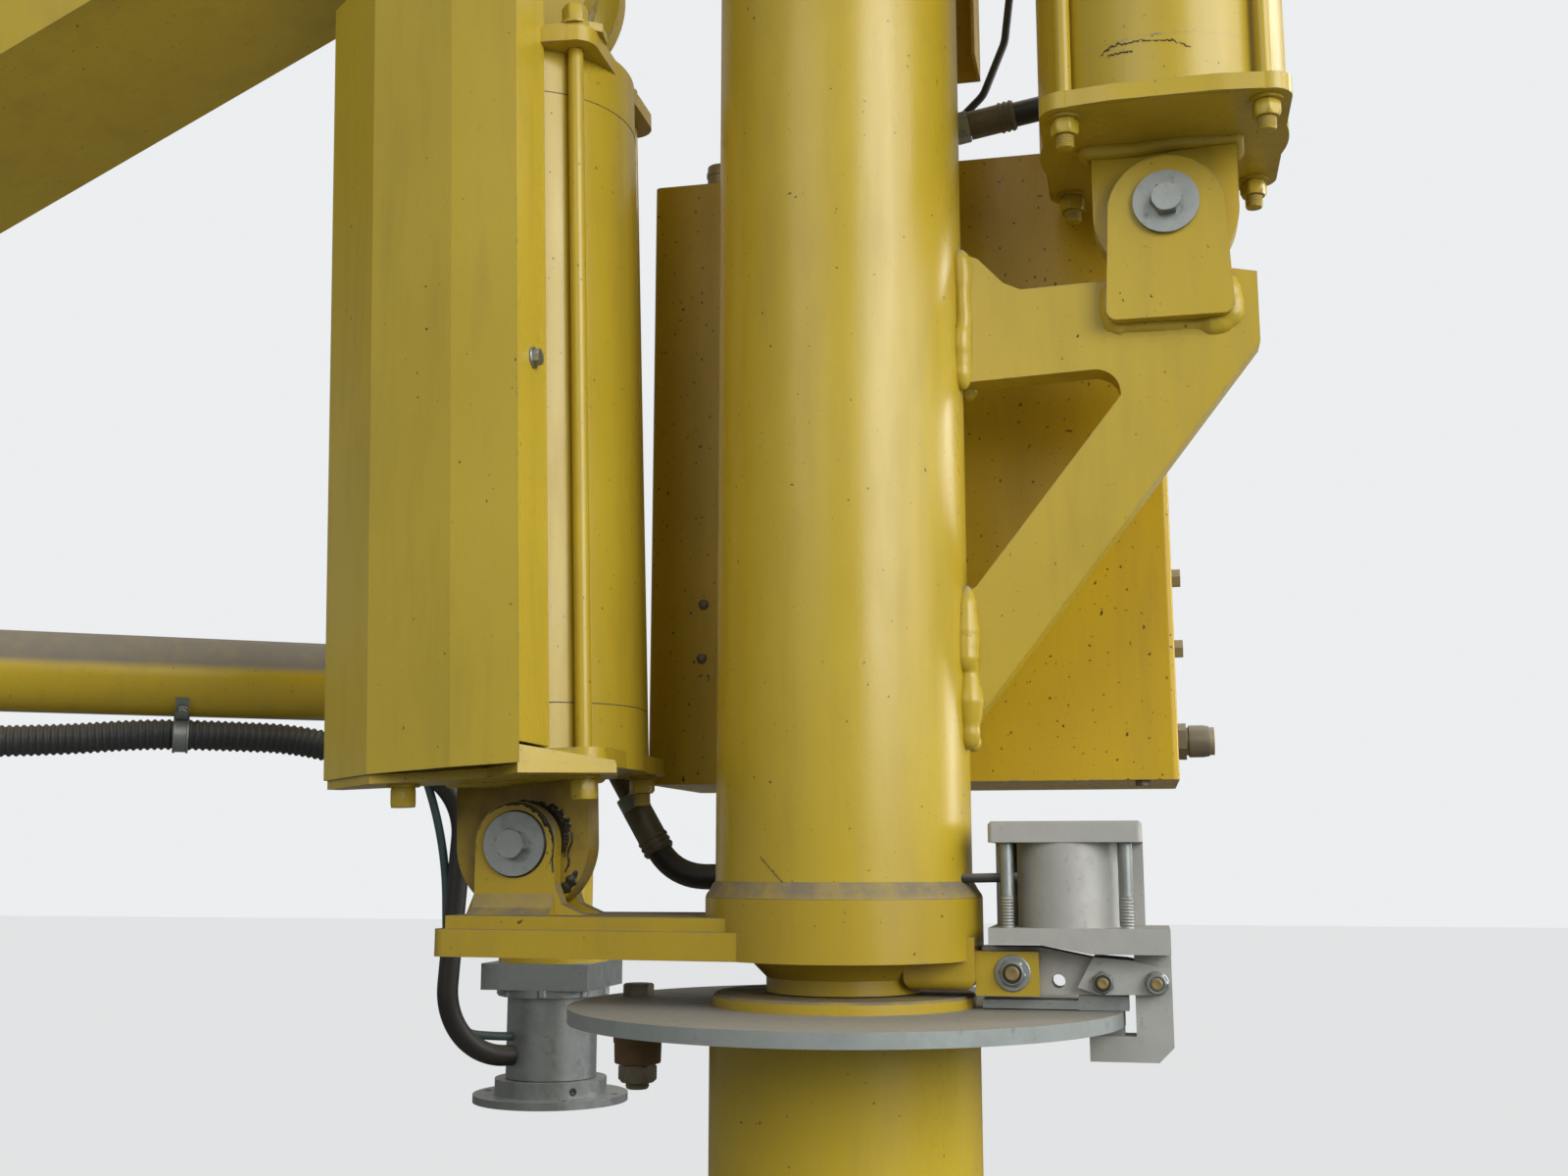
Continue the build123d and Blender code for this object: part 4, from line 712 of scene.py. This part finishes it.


# Grease pressed out round the front cylinder's pin: a dark band along the ear's round edge,
# thickest at its right shoulder, and more of it on the lug behind, from which threads hang. The
# thin dark rim at the washer is grease and painted shadow of the gap under the washer's edge
# Thin dark rim at the washer's edge: grease, and painted shadow of the gap under the washer
rim = along_path(
    circle((LEFT_PIN.x, -0.0312, LEFT_PIN.z), 0.0286, (0, -1, 0), 96)[:-1], 0.0008, 8, True, 0.5,
    (0, 1, 0)
)
turn = np.linspace(radians(196), radians(-38), 160)
ragged = 1 + 0.30 * np.sin(19 * turn) * np.sin(7 * turn + 1) + 0.12 * np.sin(61 * turn)
shoulder = np.exp(-(((turn - radians(40)) / 0.62) ** 2))
wide = (0.00035 + 0.0021 * shoulder + 0.0009 * np.exp(-(((turn - radians(95)) / 0.40) ** 2))) * ragged
on_ear = along_path(pin_circle(turn, 0.0366 - wide, -0.0309), wide, 12, False, 0.30, (0, 1, 0))
drops = [on_ear, rim]
for start, drop, wide in ((-8, 0.020, 0.0006), (4, 0.026, 0.0005)):
    fall = np.linspace(0, 1, 14)[:, None]
    top = pin_circle(np.array([radians(start)]), 0.0352, -0.0311)[0]
    drops.append(
        along_path(
            top + fall * (0.0006, 0, -drop) + np.sin(8 * fall) * (0.0004, 0, 0), wide, 8, normal=(0, 1, 0)
        )
    )
keep("ear_grease_and_rim_shadow", joined(drops), "mast", grease, 60)
turn = np.linspace(radians(120), radians(-25), 110)
ragged = 1 + 0.35 * np.sin(21 * turn) * np.sin(5 * turn) + 0.15 * np.sin(67 * turn)
wide = (0.0006 + 0.0040 * np.exp(-(((turn - radians(30)) / 0.52) ** 2))) * ragged
smears = [along_path(pin_circle(turn, 0.0372 + wide, -0.0142), wide, 14, False, 0.30, (0, 1, 0))]
for start, out, drop, lean in (
    (40, 0.0475, 0.030, 0.004), (28, 0.0490, 0.034, -0.002), (12, 0.0480, 0.030, -0.004),
    (2, 0.0455, 0.026, -0.003)
):
    top = pin_circle(np.array([radians(start)]), out, -0.0146)[0]
    fall = np.linspace(0, 1, 16)[:, None]
    thread = top + fall * (lean, 0, -drop) + np.sin(9 * fall + start) * (0.0011, 0, 0)
    smears.append(along_path(thread, 0.0006, 8, normal=(0, 1, 0)))
# A dark smear down the lug's lower right rim
turn = np.linspace(radians(-24), radians(-52), 40)
wide = 0.0052 * np.sin(pi * np.linspace(0.06, 0.94, 40)) * (1 + 0.2 * np.sin(40 * turn))
smears.append(along_path(pin_circle(turn, 0.0565, -0.0143), wide, 14, False, 0.22, (0, 1, 0)))
keep("lug_grease", joined(smears), "left_barrel", grease, 60)

bracket_seams = []
for side in (-1, 1):
    y = side * 0.0145
    x = MAST_R * cos(asin(0.0145 / MAST_R)) + 0.0020
    for foot, top in ((1.594, 1.730), (1.906, 2.0380)):
        run = [(x, y, foot), (x + 0.0015, y, (foot + top) / 2), (x, y, top)]
        bracket_seams.append(
            weld_bead(run, 0.0096, seed=int(foot * 1e3) + side, normal=(0, 1, 0), lump=0.019)
        )
    # Ears on the bracket: up the left side, along the foot and up the right side
    ear = [
        (0.2408, 1.996), (0.2372, 1.970), (0.2385, 1.960), (0.2460, 1.9555),
        (0.3340, 1.9555), (0.3415, 1.960), (0.3428, 1.970), (0.3392, 1.996),
    ]
    bracket_seams.append(
        weld_bead(
            [(px, side * 0.0118, pz) for px, pz in ear], 0.0092, seed=70 + side, normal=(0, 1, 0),
            lump=0.017
        )
    )
keep("bracket_welds", joined(bracket_seams), "mast", yellow, 60)

# ---------------------------------------------------------------- box, duct and head of the mast
screws = [
    turned(
        [(0, 0), (0.0052, 0), (0.0050, 0.0012), (0.0036, 0.0026), (0.0016, 0.0030), (0, 0.0030)],
        (x, 0.125, z), (0, -1, 0), 28
    )
    for x, z in ((-0.1599, 1.7484), (-0.1614, 1.6954))
]
screws.append(bolt_head((0.2535, 0.137, 1.574), (0, 0, -1), 0.008, spin=0.1))
keep("box_screws", joined(screws), "mast", fitting)
# Cap of the plug and rings of the gland: turned collars over the fittings
rings = [
    turned(
        [(0.0149, 0), (0.0166, 0), (0.0169, 0.0012), (0.0169, 0.0098), (0.0163, 0.0110), (0.0149, 0.0110)],
        (-0.160, 0.185, 2.1845), (0, 0, 1), 40
    ),
    turned(
        [(0.0149, 0), (0.0160, 0.0005), (0.0160, 0.0045), (0.0149, 0.0050)], (-0.160, 0.185, 2.2150),
        (0, 0, 1), 40
    ),
]
keep("plug_rings", joined(rings), "mast", brass)
gland = [
    turned(
        [(0.0129, 0.0), (0.0170, 0.0), (0.0173, 0.0085), (0.0129, 0.0085)], (0.286, 0.185, 1.612),
        (1, 0, 0), 48, 0.0150, 0.2
    ),
    turned(
        [(0.0129, 0.0100), (0.0150, 0.0110), (0.0150, 0.0235), (0.0141, 0.0290), (0.0129, 0.0300)],
        (0.286, 0.185, 1.612), (1, 0, 0), 40
    ),
]
keep("gland_nuts", joined(gland), "mast", fitting)

head_seams = [weld_bead(circle((0, 0, 2.5435), MAST_R + 0.0015), 0.0052, True, 3)]
for y in (-0.141, -0.117, 0.117, 0.141):
    head_seams.append(weld_bead([(-0.117, y, 2.5715), (0.117, y, 2.5715)], 0.0045, seed=int(1e3 * abs(y))))
keep("head_welds", joined(head_seams), "mast", yellow, 60)
head_bolts = []
for z in (PIVOT.z, PIVOT.z + TIE_RISE):
    head_bolts += both(0.145, lambda y, axis: bolt_head((0, y, z), axis, 0.016, washer=0.016))
keep("head_pin_bolts", joined(head_bolts), "mast", zinc)

# ---------------------------------------------------------------- brake
brake_nuts = [
    lock_nut((0.145, BRAKE_Y - 0.030, 1.412), (0, -1, 0), 0.0100, 0.0055, 0.0145, 0.35),
    lock_nut((0.216, BRAKE_Y - 0.0235, 1.405), (0, -1, 0), 0.0082, 0.0062, 0.0, 0.1),
    lock_nut((0.258, BRAKE_Y - 0.0235, 1.405), (0, -1, 0), 0.0082, 0.0062, 0.0098, 0.5),
    bolt_head((0.145, BRAKE_Y + 0.030, 1.412), (0, 1, 0), 0.012, 0.0145, high=0.0070),
    bolt_head((0.216, BRAKE_Y + 0.0235, 1.405), (0, 1, 0), 0.010, high=0.0074),
    bolt_head((0.258, BRAKE_Y + 0.0235, 1.405), (0, 1, 0), 0.010, high=0.0074),
]
studs = []
for x in (0.142, 0.237):
    for y in (BRAKE_Y - 0.030, BRAKE_Y + 0.030):
        rings = np.arange(0.0, 0.023, 0.00125)
        thread = [(0.0048, 0), *zip(0.0055 - 0.0007 * (np.arange(len(rings)) % 2), rings), (0.0048, 0.0235)]
        studs.append(turned(thread, (x, y, 1.448), (0, 0, 1), 24))
        studs.append(
            turned(
                [(0.0048, 0.0245), (0.0056, 0.0250), (0.0056, 0.067), (0.0048, 0.0675)], (x, y, 1.448),
                (0, 0, 1), 24
            )
        )
keep("brake_nuts", joined(brake_nuts), "mast", zinc)
keep("brake_stud_threads", joined(studs), "mast", zinc)
bolt_ends = []
for x, z, out, r in (
    (0.145, 1.412, 0.0305, 0.0058), (0.216, 1.405, 0.024, 0.0046), (0.258, 1.405, 0.024, 0.0046)
):
    face = [(r + 0.0003, 0.004), (r, 0.0076), (r - 0.0010, 0.0084), (0, 0.0080)]
    bolt_ends.append(turned(face, (x, BRAKE_Y - out, z), (0, -1, 0), 32))
keep("brake_bolt_ends", joined(bolt_ends), "mast", bolt_end)
nylon_rings = []
for x, z, out, inner, outer in (
    (0.145, 1.412, 0.0305, 0.0057, 0.0080), (0.216, 1.405, 0.024, 0.0045, 0.0066),
    (0.258, 1.405, 0.024, 0.0045, 0.0066)
):
    ring = [(outer, 0.0050), (outer, 0.0071), (inner + 0.0006, 0.0073), (inner, 0.0066)]
    nylon_rings.append(turned(ring, (x, BRAKE_Y - out, z), (0, -1, 0), 32))
keep("brake_nylon_rings", joined(nylon_rings), "mast", nylon)
air_stub, _ = led_through([(0.150, -0.032, 1.488), (0.128, -0.034, 1.4875), (0.104, -0.030, 1.487)], 0.004)
keep("brake_air_stub", along_path(air_stub, 0.0038, 16), "mast", conduit_black, 60)


# ---------------------------------------------------------------- both cylinders
def on_cylinder(origin, across, along, x, y, level):
    """A place on a cylinder: x across its axis in the arm's plane, y across that plane, level up."""
    return Vector(origin) + across * x + Vector((0, y, 0)) + along * level


def tie_rod_nuts(body, origin, across, along, length, plate_under):
    """Nuts and threaded ends of the four tie rods, at both end plates; plate_under is what lies
    between a front nut and its end plate. A nut on that plate is tall and hides the rod's end."""
    half = ROD_SPACING / 2
    nuts = []
    for x in (-half, half):
        for y in (-half, half):
            extra = plate_under if y < 0 else 0
            high = 0.0172 if extra else 0.0135
            tail = 0.0275 - extra - high - 0.0025
            spin = 40 * (x + 2 * y)
            for level, axis in ((PLATE_LEVEL - extra, -along), (PLATE_LEVEL + length + extra, along)):
                place = on_cylinder(origin, across, along, x, y, level)
                nuts.append(nut_on_stud(place, axis, 0.014, tail, spin, 0.0142, high))
    # Seam round the foot lug under the end plate
    foot = PLATE_LEVEL - 0.0015
    corners = [(0.0645, 0.0165), (-0.0645, 0.0165), (-0.0645, -0.0165), (0.0645, -0.0165), (0.0645, 0.0165)]
    seam = weld_bead(
        [on_cylinder(origin, across, along, x, y, foot) for x, y in corners], 0.0065, True, 140, along, 0.040
    )
    keep(body + "_tie_rod_nuts", joined([*nuts, seam]), body, yellow, 40)
    # Edges of the end plates, a little crowned where the round cap comes out to them
    x = np.linspace(-0.080, 0.080, 33)
    crown = 0.1032 + 0.0047 * np.clip(2.2 * (1 - np.abs(x) / 0.080), 0, 1)
    lips = []
    for level in (PLATE_LEVEL, PLATE_LEVEL + length - PLATE_THICK):
        for side in (-1, 1):
            section = [
                [on_cylinder(origin, across, along, px, side * py, level + up) for px, py in zip(x, depth)]
                for depth, up in (
                    (0 * x + 0.098, 0.0003), (crown, 0.0003), (crown, 0.0147), (0 * x + 0.098, 0.0147)
                )
            ]
            section = np.array(section).transpose(1, 0, 2)[:: -side]
            section = np.concatenate([section[:1, :1].repeat(4, 1), section, section[-1:, :1].repeat(4, 1)])
            lips.append((section.reshape(-1, 3), grid_faces(len(section), 4, True)))
    keep(body + "_plate_lips", joined(lips), body, yellow, 30)


UPRIGHT, ACROSS = Vector((0, 0, 1)), Vector((1, 0, 0))
tie_rod_nuts("left_barrel", LEFT_PIN, across_left, along_left, LEFT_BARREL, 0.008)
tie_rod_nuts("right_barrel", RIGHT_PIN, ACROSS, UPRIGHT, RIGHT_BARREL, 0.0)

guard_bolt_place = on_cylinder(LEFT_PIN, across_left, along_left, 0.057, -0.130, 0.408)
guard_bolt = bolt_head(guard_bolt_place, across_left, 0.008, 0.0095, spin=0.4)
keep("guard_bolt", guard_bolt, "left_barrel", zinc)


def scratch(centre, radius, places, wide, seed):
    """A ragged line on a round body, through places given as (degrees, height)."""
    degrees, height = np.array(places).T
    run = np.linspace(0, 1, 40 * len(places))
    knots = np.linspace(0, 1, len(places))
    slow = wander(run, 0.02, seed)
    turn = np.radians(np.interp(run, knots, degrees))
    out = radius + 0.0001
    line = np.stack(
        [centre.x + out * np.cos(turn), centre.y + out * np.sin(turn), np.interp(run, knots, height)], 1
    )
    line[:, 2] += 0.0007 * wide / 0.0006 * slow[0]
    return along_path(line, wide * np.clip(1 + 0.45 * slow[1], 0.2, 2), 8)


# Paint scraped up over the rear cylinder's lower joint, and a hairline scratch on the mast
upper = [
    (-117.4, 2.1672), (-114.5, 2.1702), (-109.7, 2.1722), (-104.0, 2.1712), (-98.6, 2.1713),
    (-95.5, 2.1698), (-88.1, 2.1690), (-81.8, 2.1655), (-77.6, 2.1610)
]
lower = [(-114.0, 2.1642), (-109.0, 2.1640), (-103.0, 2.1629)]
peel = [scratch(RIGHT_PIN, BARREL_R, upper, 0.0006, 5), scratch(RIGHT_PIN, BARREL_R, lower, 0.0005, 6)]
scraped = dull_plastic("scraped_edge", "#655a40", "#453b26", 0.8, dust_amount=0.2)
keep("scraped_paint", joined(peel), "right_barrel", scraped, 60)
hairline = scratch(
    Vector((0, 0, 0)), MAST_R, [(-117.4, 1.5046), (-110.2, 1.4922), (-102.3, 1.4769)], 0.00035, 7
)
keep("mast_scratch", hairline, "mast", scraped, 60)

# Joints between the front barrel and its caps: a thin dark ring of dirt in each
joints = [
    along_path(
        circle(on_cylinder(LEFT_PIN, across_left, along_left, 0, 0, level), BARREL_R, along_left, 181)[:-1],
        0.00042, 8, True, normal=along_left,
    )
    for level in (PLATE_LEVEL + CAP_LENGTH, PLATE_LEVEL + LEFT_BARREL - CAP_LENGTH)
]
keep("left_barrel_joint_dirt", joined(joints), "left_barrel", scraped, 60)

# The folded guard, drawn whole because the photo shows it run on higher than its solid: a sheet
# between a folded line and the same line moved out by 3 mm, each corner on its mitre
GUARD_LINE = np.array(
    [(54, -97), (54, -162), (-8, -148), (-99, -112), (-165, -60), (-165, 30), (-114, 30)]
) / 1e3
step = np.diff(GUARD_LINE, axis=0)
step /= np.linalg.norm(step, axis=1)[:, None]
away = np.stack([-step[:, 1], step[:, 0]], 1)
mitre = np.concatenate([away[:1], away[:-1] + away[1:], away[-1:]])
mitre /= np.concatenate([[1], 1 + (away[:-1] * away[1:]).sum(1), [1]])[:, None]
GUARD_OUT = GUARD_LINE + 0.003 * mitre


def guard_run(first, last, foot, top):
    """The guard's sheet from one fold to another, between two levels: walls and both rims."""
    loop = np.concatenate([GUARD_LINE[first:last], GUARD_OUT[first:last][::-1]])
    count, half = len(loop), last - first
    points = np.array([on_cylinder(LEFT_PIN, across_left, along_left, x, y, level) for level in (foot, top) for x, y in loop])
    rims = []
    for i in range(half - 1):
        corner = np.array((i, i + 1, count - 2 - i, count - 1 - i))
        rims += [corner, corner[::-1] + count]
    return points, np.concatenate([grid_faces(2, count, True)[:, ::-1], np.array(rims)])


GUARD_TOP = PLATE_LEVEL + LEFT_BARREL + 0.075
guard_runs = [guard_run(1, 7, PLATE_LEVEL, GUARD_TOP), guard_run(0, 2, PLATE_LEVEL + WEDGE_HIGH, GUARD_TOP)]
# The guard's enamel is painted paler than the rest as painted light
guard = keep("folded_guard", joined(guard_runs), "left_barrel", yellow_guard_painted_light, 5)
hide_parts("guard_shell")

# Hose fittings: union nut under the elbow, crimp rings on the ferrule
LEFT_FERRULE, LEFT_ELBOW = Vector((-0.201, 0.124, 1.510)), Vector((-0.256, 0.124, 1.604))
RIGHT_FERRULE, RIGHT_ELBOW = Vector((0.152, 0.150, 2.239)), Vector((0.080, 0.150, 2.227))
for body, end, elbow in (("left_barrel", LEFT_FERRULE, LEFT_ELBOW), ("mast", RIGHT_FERRULE, RIGHT_ELBOW)):
    back = (elbow - end).normalized()
    name = "left" if body == "left_barrel" else "right"
    nut = [(0.0099, 0), (0.0148, 0), (0.0157, 0.0015), (0.0157, 0.0135), (0.0142, 0.0150), (0.0099, 0.0150)]
    keep(
        name + "_union_nut", turned(nut, end + back * 0.0465, back, 48, 0.0137, 0.3), body, zinc,
    )
    crimps = [
        turned(
            [(0.0135, 0), (0.0149, 0.0004), (0.0152, 0.0018), (0.0149, 0.0034), (0.0135, 0.0038)],
            end + back * at, back, 40
        )
        for at in (0.0012, 0.0066, 0.0120)
    ]
    keep(name + "_crimp_rings", joined(crimps), body, fitting)


def hose_between(name, node, route, radius, finish=hose_rubber):
    """Hose between two bodies, on the line that it was led through, in place of the node that it hides; it rides on
    neither body.
    """
    line, _ = led_through(route, 0.005)
    piece = keep(name, along_path(line, radius, 28, normal=(1, -1, 1)), None, finish, 60)
    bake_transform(piece)
    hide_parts(node)


hose_between(
    "left_cylinder_hose",
    "left_hose",
    [
        (-0.2035, 0.124, 1.5143), (-0.18725, 0.124, 1.4865), (-0.120, 0.124, 1.4865),
        (-0.050, 0.185, 1.490), (-0.050, 0.185, 1.5745)
    ],
    0.012,
)
hose_between(
    "right_cylinder_hose",
    "right_hose",
    [
        (0.149, 0.150, 2.2385), (0.236, 0.150, 2.253), (0.325, 0.150, 2.253), (0.325, 0.150, 2.156),
        (0.325, 0.1075, 2.156)
    ],
    0.012,
)

# ---------------------------------------------------------------- main arm, tie bar and elbow
up_arm = Vector((-sin(ARM_SLOPE), 0, cos(ARM_SLOPE)))


def on_arm(u, v, y):
    """A place on the main arm: u along it from the pivot, v over its middle line."""
    return PIVOT + along_arm * u + up_arm * v + Vector((0, y, 0))


left_eye = LEFT_PIN + along_left * (PLATE_LEVEL + LEFT_BARREL + 0.1025)
right_eye = RIGHT_PIN + UPRIGHT * (PLATE_LEVEL + RIGHT_BARREL + 0.3469)
left_u = (left_eye - PIVOT).dot(along_arm)
arm_seams = []
for y in (-0.0455, -0.0245, 0.0245, 0.0455):
    arm_seams += [
        weld_bead(
            [on_arm(left_u - 0.112, -0.1115, y), on_arm(left_u + 0.112, -0.1115, y)], 0.0045, seed=90,
            normal=(0, 1, 0)
        ),
        weld_bead([on_arm(-0.1515, -0.104, y), on_arm(-0.1515, 0.104, y)], 0.0045, seed=91, normal=(0, 1, 0)),
    ]
keep("arm_ear_welds", joined(arm_seams), "arm", yellow, 60)
arm_bolts = []
for eye in (left_eye, right_eye):
    arm_bolts += both(0.050, lambda y, axis: bolt_head((eye.x, y, eye.z), axis, 0.012, washer=0.024))
keep("arm_pin_bolts", joined(arm_bolts), "arm", zinc)

FOREARM_AXIS = Vector((ELBOW.x - 0.210, 0, 0))
elbow_seams = []
for side in (-1, 1):
    x = FOREARM_AXIS.x + 0.0575
    elbow_seams += [
        weld_bead([(x, side * 0.0420, 1.889), (x, side * 0.0420, 2.289)], 0.005, seed=110, normal=(0, 1, 0)),
        weld_bead(
            [
                (FOREARM_AXIS.x + 0.0765, side * 0.1175, 1.889),
                (FOREARM_AXIS.x + 0.0765, side * 0.1175, 2.312)
            ],
            0.0045, seed=111, normal=(0, 1, 0)
        ),
    ]
keep("elbow_welds", joined(elbow_seams), "elbow", yellow, 60)
elbow_bolts = []
for z, washer in ((ELBOW.z, 0.036), (ELBOW.z + TIE_RISE, 0.026)):
    elbow_bolts += both(0.143, lambda y, axis: bolt_head((ELBOW.x, y, z), axis, 0.016, washer=washer))
keep("elbow_pin_bolts", joined(elbow_bolts), "elbow", zinc)

# ---------------------------------------------------------------- forearm, conduit and tool end
HEADING = radians(32.3)
AHEAD, ASIDE = Vector((cos(HEADING), sin(HEADING), 0)), Vector((sin(HEADING), -cos(HEADING), 0))
TOOL = FOREARM_AXIS + AHEAD * FOREARM_LENGTH


def by_forearm(along, aside, z):
    """A place beside the forearm: along it from the elbow's axis, aside towards the front."""
    return FOREARM_AXIS + AHEAD * along + ASIDE * aside + Vector((0, 0, z))


# The conduit is slimmer than its solid and hangs from the same upper line
CONDUIT_R, CONDUIT_RISE = 0.0196, 0.0073
CONDUIT_Z = 1.6536 + CONDUIT_RISE
route = [
    by_forearm(
        0.190, 0, CONDUIT_Z - 0.0067
    ), by_forearm(0.290, 0, CONDUIT_Z), by_forearm(0.370, 0, CONDUIT_Z),
    by_forearm(
        0.480, 0, CONDUIT_Z - 0.0110
    ), by_forearm(0.611, 0, CONDUIT_Z - 0.0160), by_forearm(0.742, 0, CONDUIT_Z - 0.0110),
    by_forearm(0.852, 0, CONDUIT_Z), by_forearm(0.932, 0, CONDUIT_Z), by_forearm(
        1.060, 0.0060, CONDUIT_Z - 0.0030
    ),
    by_forearm(1.150, 0.050, CONDUIT_Z - CONDUIT_DROP - CONDUIT_RISE),
]
line, run = led_through(route, 0.0010)
# Ridges 8.4 mm apart: the radius rises and falls as a cosine of the length run, flat on top
ridge = np.tanh(1.6 * np.cos(tau * run / 0.0084))
ridged = along_path(line, CONDUIT_R - 0.0011 + 0.0012 * ridge, 36)
conduit = keep("ridged_conduit", ridged, "forearm", conduit_black, 60)
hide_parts("forearm_conduit")

clip_bands, clip_bolts = [], []
for along in (0.330, 0.892):
    centre = by_forearm(along, 0, CONDUIT_Z)
    wall = [(0.0203, -0.0080), (0.0222, -0.0080), (0.0222, 0.0080), (0.0203, 0.0080), (0.0203, -0.0080)]
    clip_bands.append(turned(wall, centre, AHEAD, 64))
    # Rolled edges of the clip's band, its strap up to the tube, and the saddle under the tube
    for edge in (-0.0080, 0.0080):
        ring = circle(by_forearm(along + edge, 0, CONDUIT_Z), 0.0222, AHEAD, 64)
        clip_bands.append(along_path(ring[:-1], 0.0016, 10, closed=True, normal=AHEAD))
    strap = [
        by_forearm(along, aside, z)
        for aside, z in (
            (0.0080, CONDUIT_Z + 0.0205), (0.0165, CONDUIT_Z + 0.0190), (0.0260, CONDUIT_Z + 0.0227),
            (0.0345, CONDUIT_Z + 0.0322), (0.0400, CONDUIT_Z + 0.0407)
        )
    ]
    clip_bands.append(band(strap, AHEAD, 0.016, 0.0022))
    saddle = [by_forearm(along, 0.0519 * sin(a), FOREARM_Z - 0.0519 * cos(a)) for a in np.linspace(-0.55, 0.95, 24)]
    clip_bands.append(band(saddle, AHEAD, 0.016, 0.0020))
    outward = (ASIDE * 0.62 + Vector((0, 0, -0.78))).normalized()
    clip_bolts.append(
        bolt_head(
            by_forearm(along, 0.0322, CONDUIT_Z + 0.0312) + outward * 0.0020, outward, 0.006, 0.0072,
            spin=0.3
        )
    )
clips = keep("clip_bands", joined(clip_bands), "forearm", zinc, 50)
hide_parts("conduit_clamps")
keep("clip_bolts", joined(clip_bolts), "forearm", zinc)

flange_bolts = [
    bolt_head(TOOL + Vector((0.0632 * cos(a), 0.0632 * sin(a), 1.381)), (0, 0, 1), 0.008, 0.0078, spin=a)
    for a in tau / 6 * (np.arange(6) + 0.3)
]
keep("drop_flange_bolts", joined(flange_bolts), "forearm", zinc)
ring_screws = [
    socket_screw(TOOL + Vector((0.0688 * cos(a), 0.0688 * sin(a), 1.335)), (0, 0, -1), 0.010)
    for a in tau / 8 * (np.arange(8) + 0.2)
]
keep("housing_screws", joined(ring_screws), "forearm", zinc)
drop_seam = weld_bead(circle(TOOL + Vector((0, 0, 1.3825)), 0.0522), 0.0038, True, 121)
# Seam of the tube on its head: a circle round the tube, each point moved along to the head's wall
a = np.linspace(0, tau, 97)
aside, rise = 0.0515 * np.sin(a), 0.0515 * np.cos(a)
along = np.sqrt(0.0715**2 - aside**2)
head_ring = np.array(FOREARM_AXIS) + along[:, None] * np.array(AHEAD) + aside[:, None] * np.array(ASIDE)
head_ring[:, 2] += FOREARM_Z + rise
head_seam = weld_bead(head_ring, 0.0045, True, 122, normal=AHEAD)
keep("forearm_welds", joined([drop_seam, head_seam]), "forearm", yellow, 60)

grub_turn = atan2(-2.126, 0.782) + 0.40
grub_out = Vector((cos(grub_turn), sin(grub_turn), 0))
grub = turned(
    [(0.0052, 0.0), (0.0050, 0.0005), (0.0030, 0.0006), (0.0024, 0.0002), (0, 0.0002)],
    TOOL + grub_out * 0.0738 + Vector((0, 0, 1.2065)), grub_out, 28
)
keep("collar_grub_screw", grub, "tool", nylon)

thin_route = [
    by_forearm(
        1.1900, 0.0420, CONDUIT_Z - CONDUIT_DROP - CONDUIT_RISE
    ), by_forearm(1.2260, 0.0420, 1.5400), by_forearm(1.2330, 0.0400, 1.3600),
    by_forearm(
        1.2480, 0.0330, 1.2820
    ), by_forearm(1.3080, 0.0200, 1.2740), by_forearm(1.3300, 0.0150, 1.2735),
]
thin, _ = led_through(thin_route, 0.005)
keep("thin_air_hose", along_path(thin, 0.0055, 20, normal=ASIDE), "forearm", teal_hose, 60)
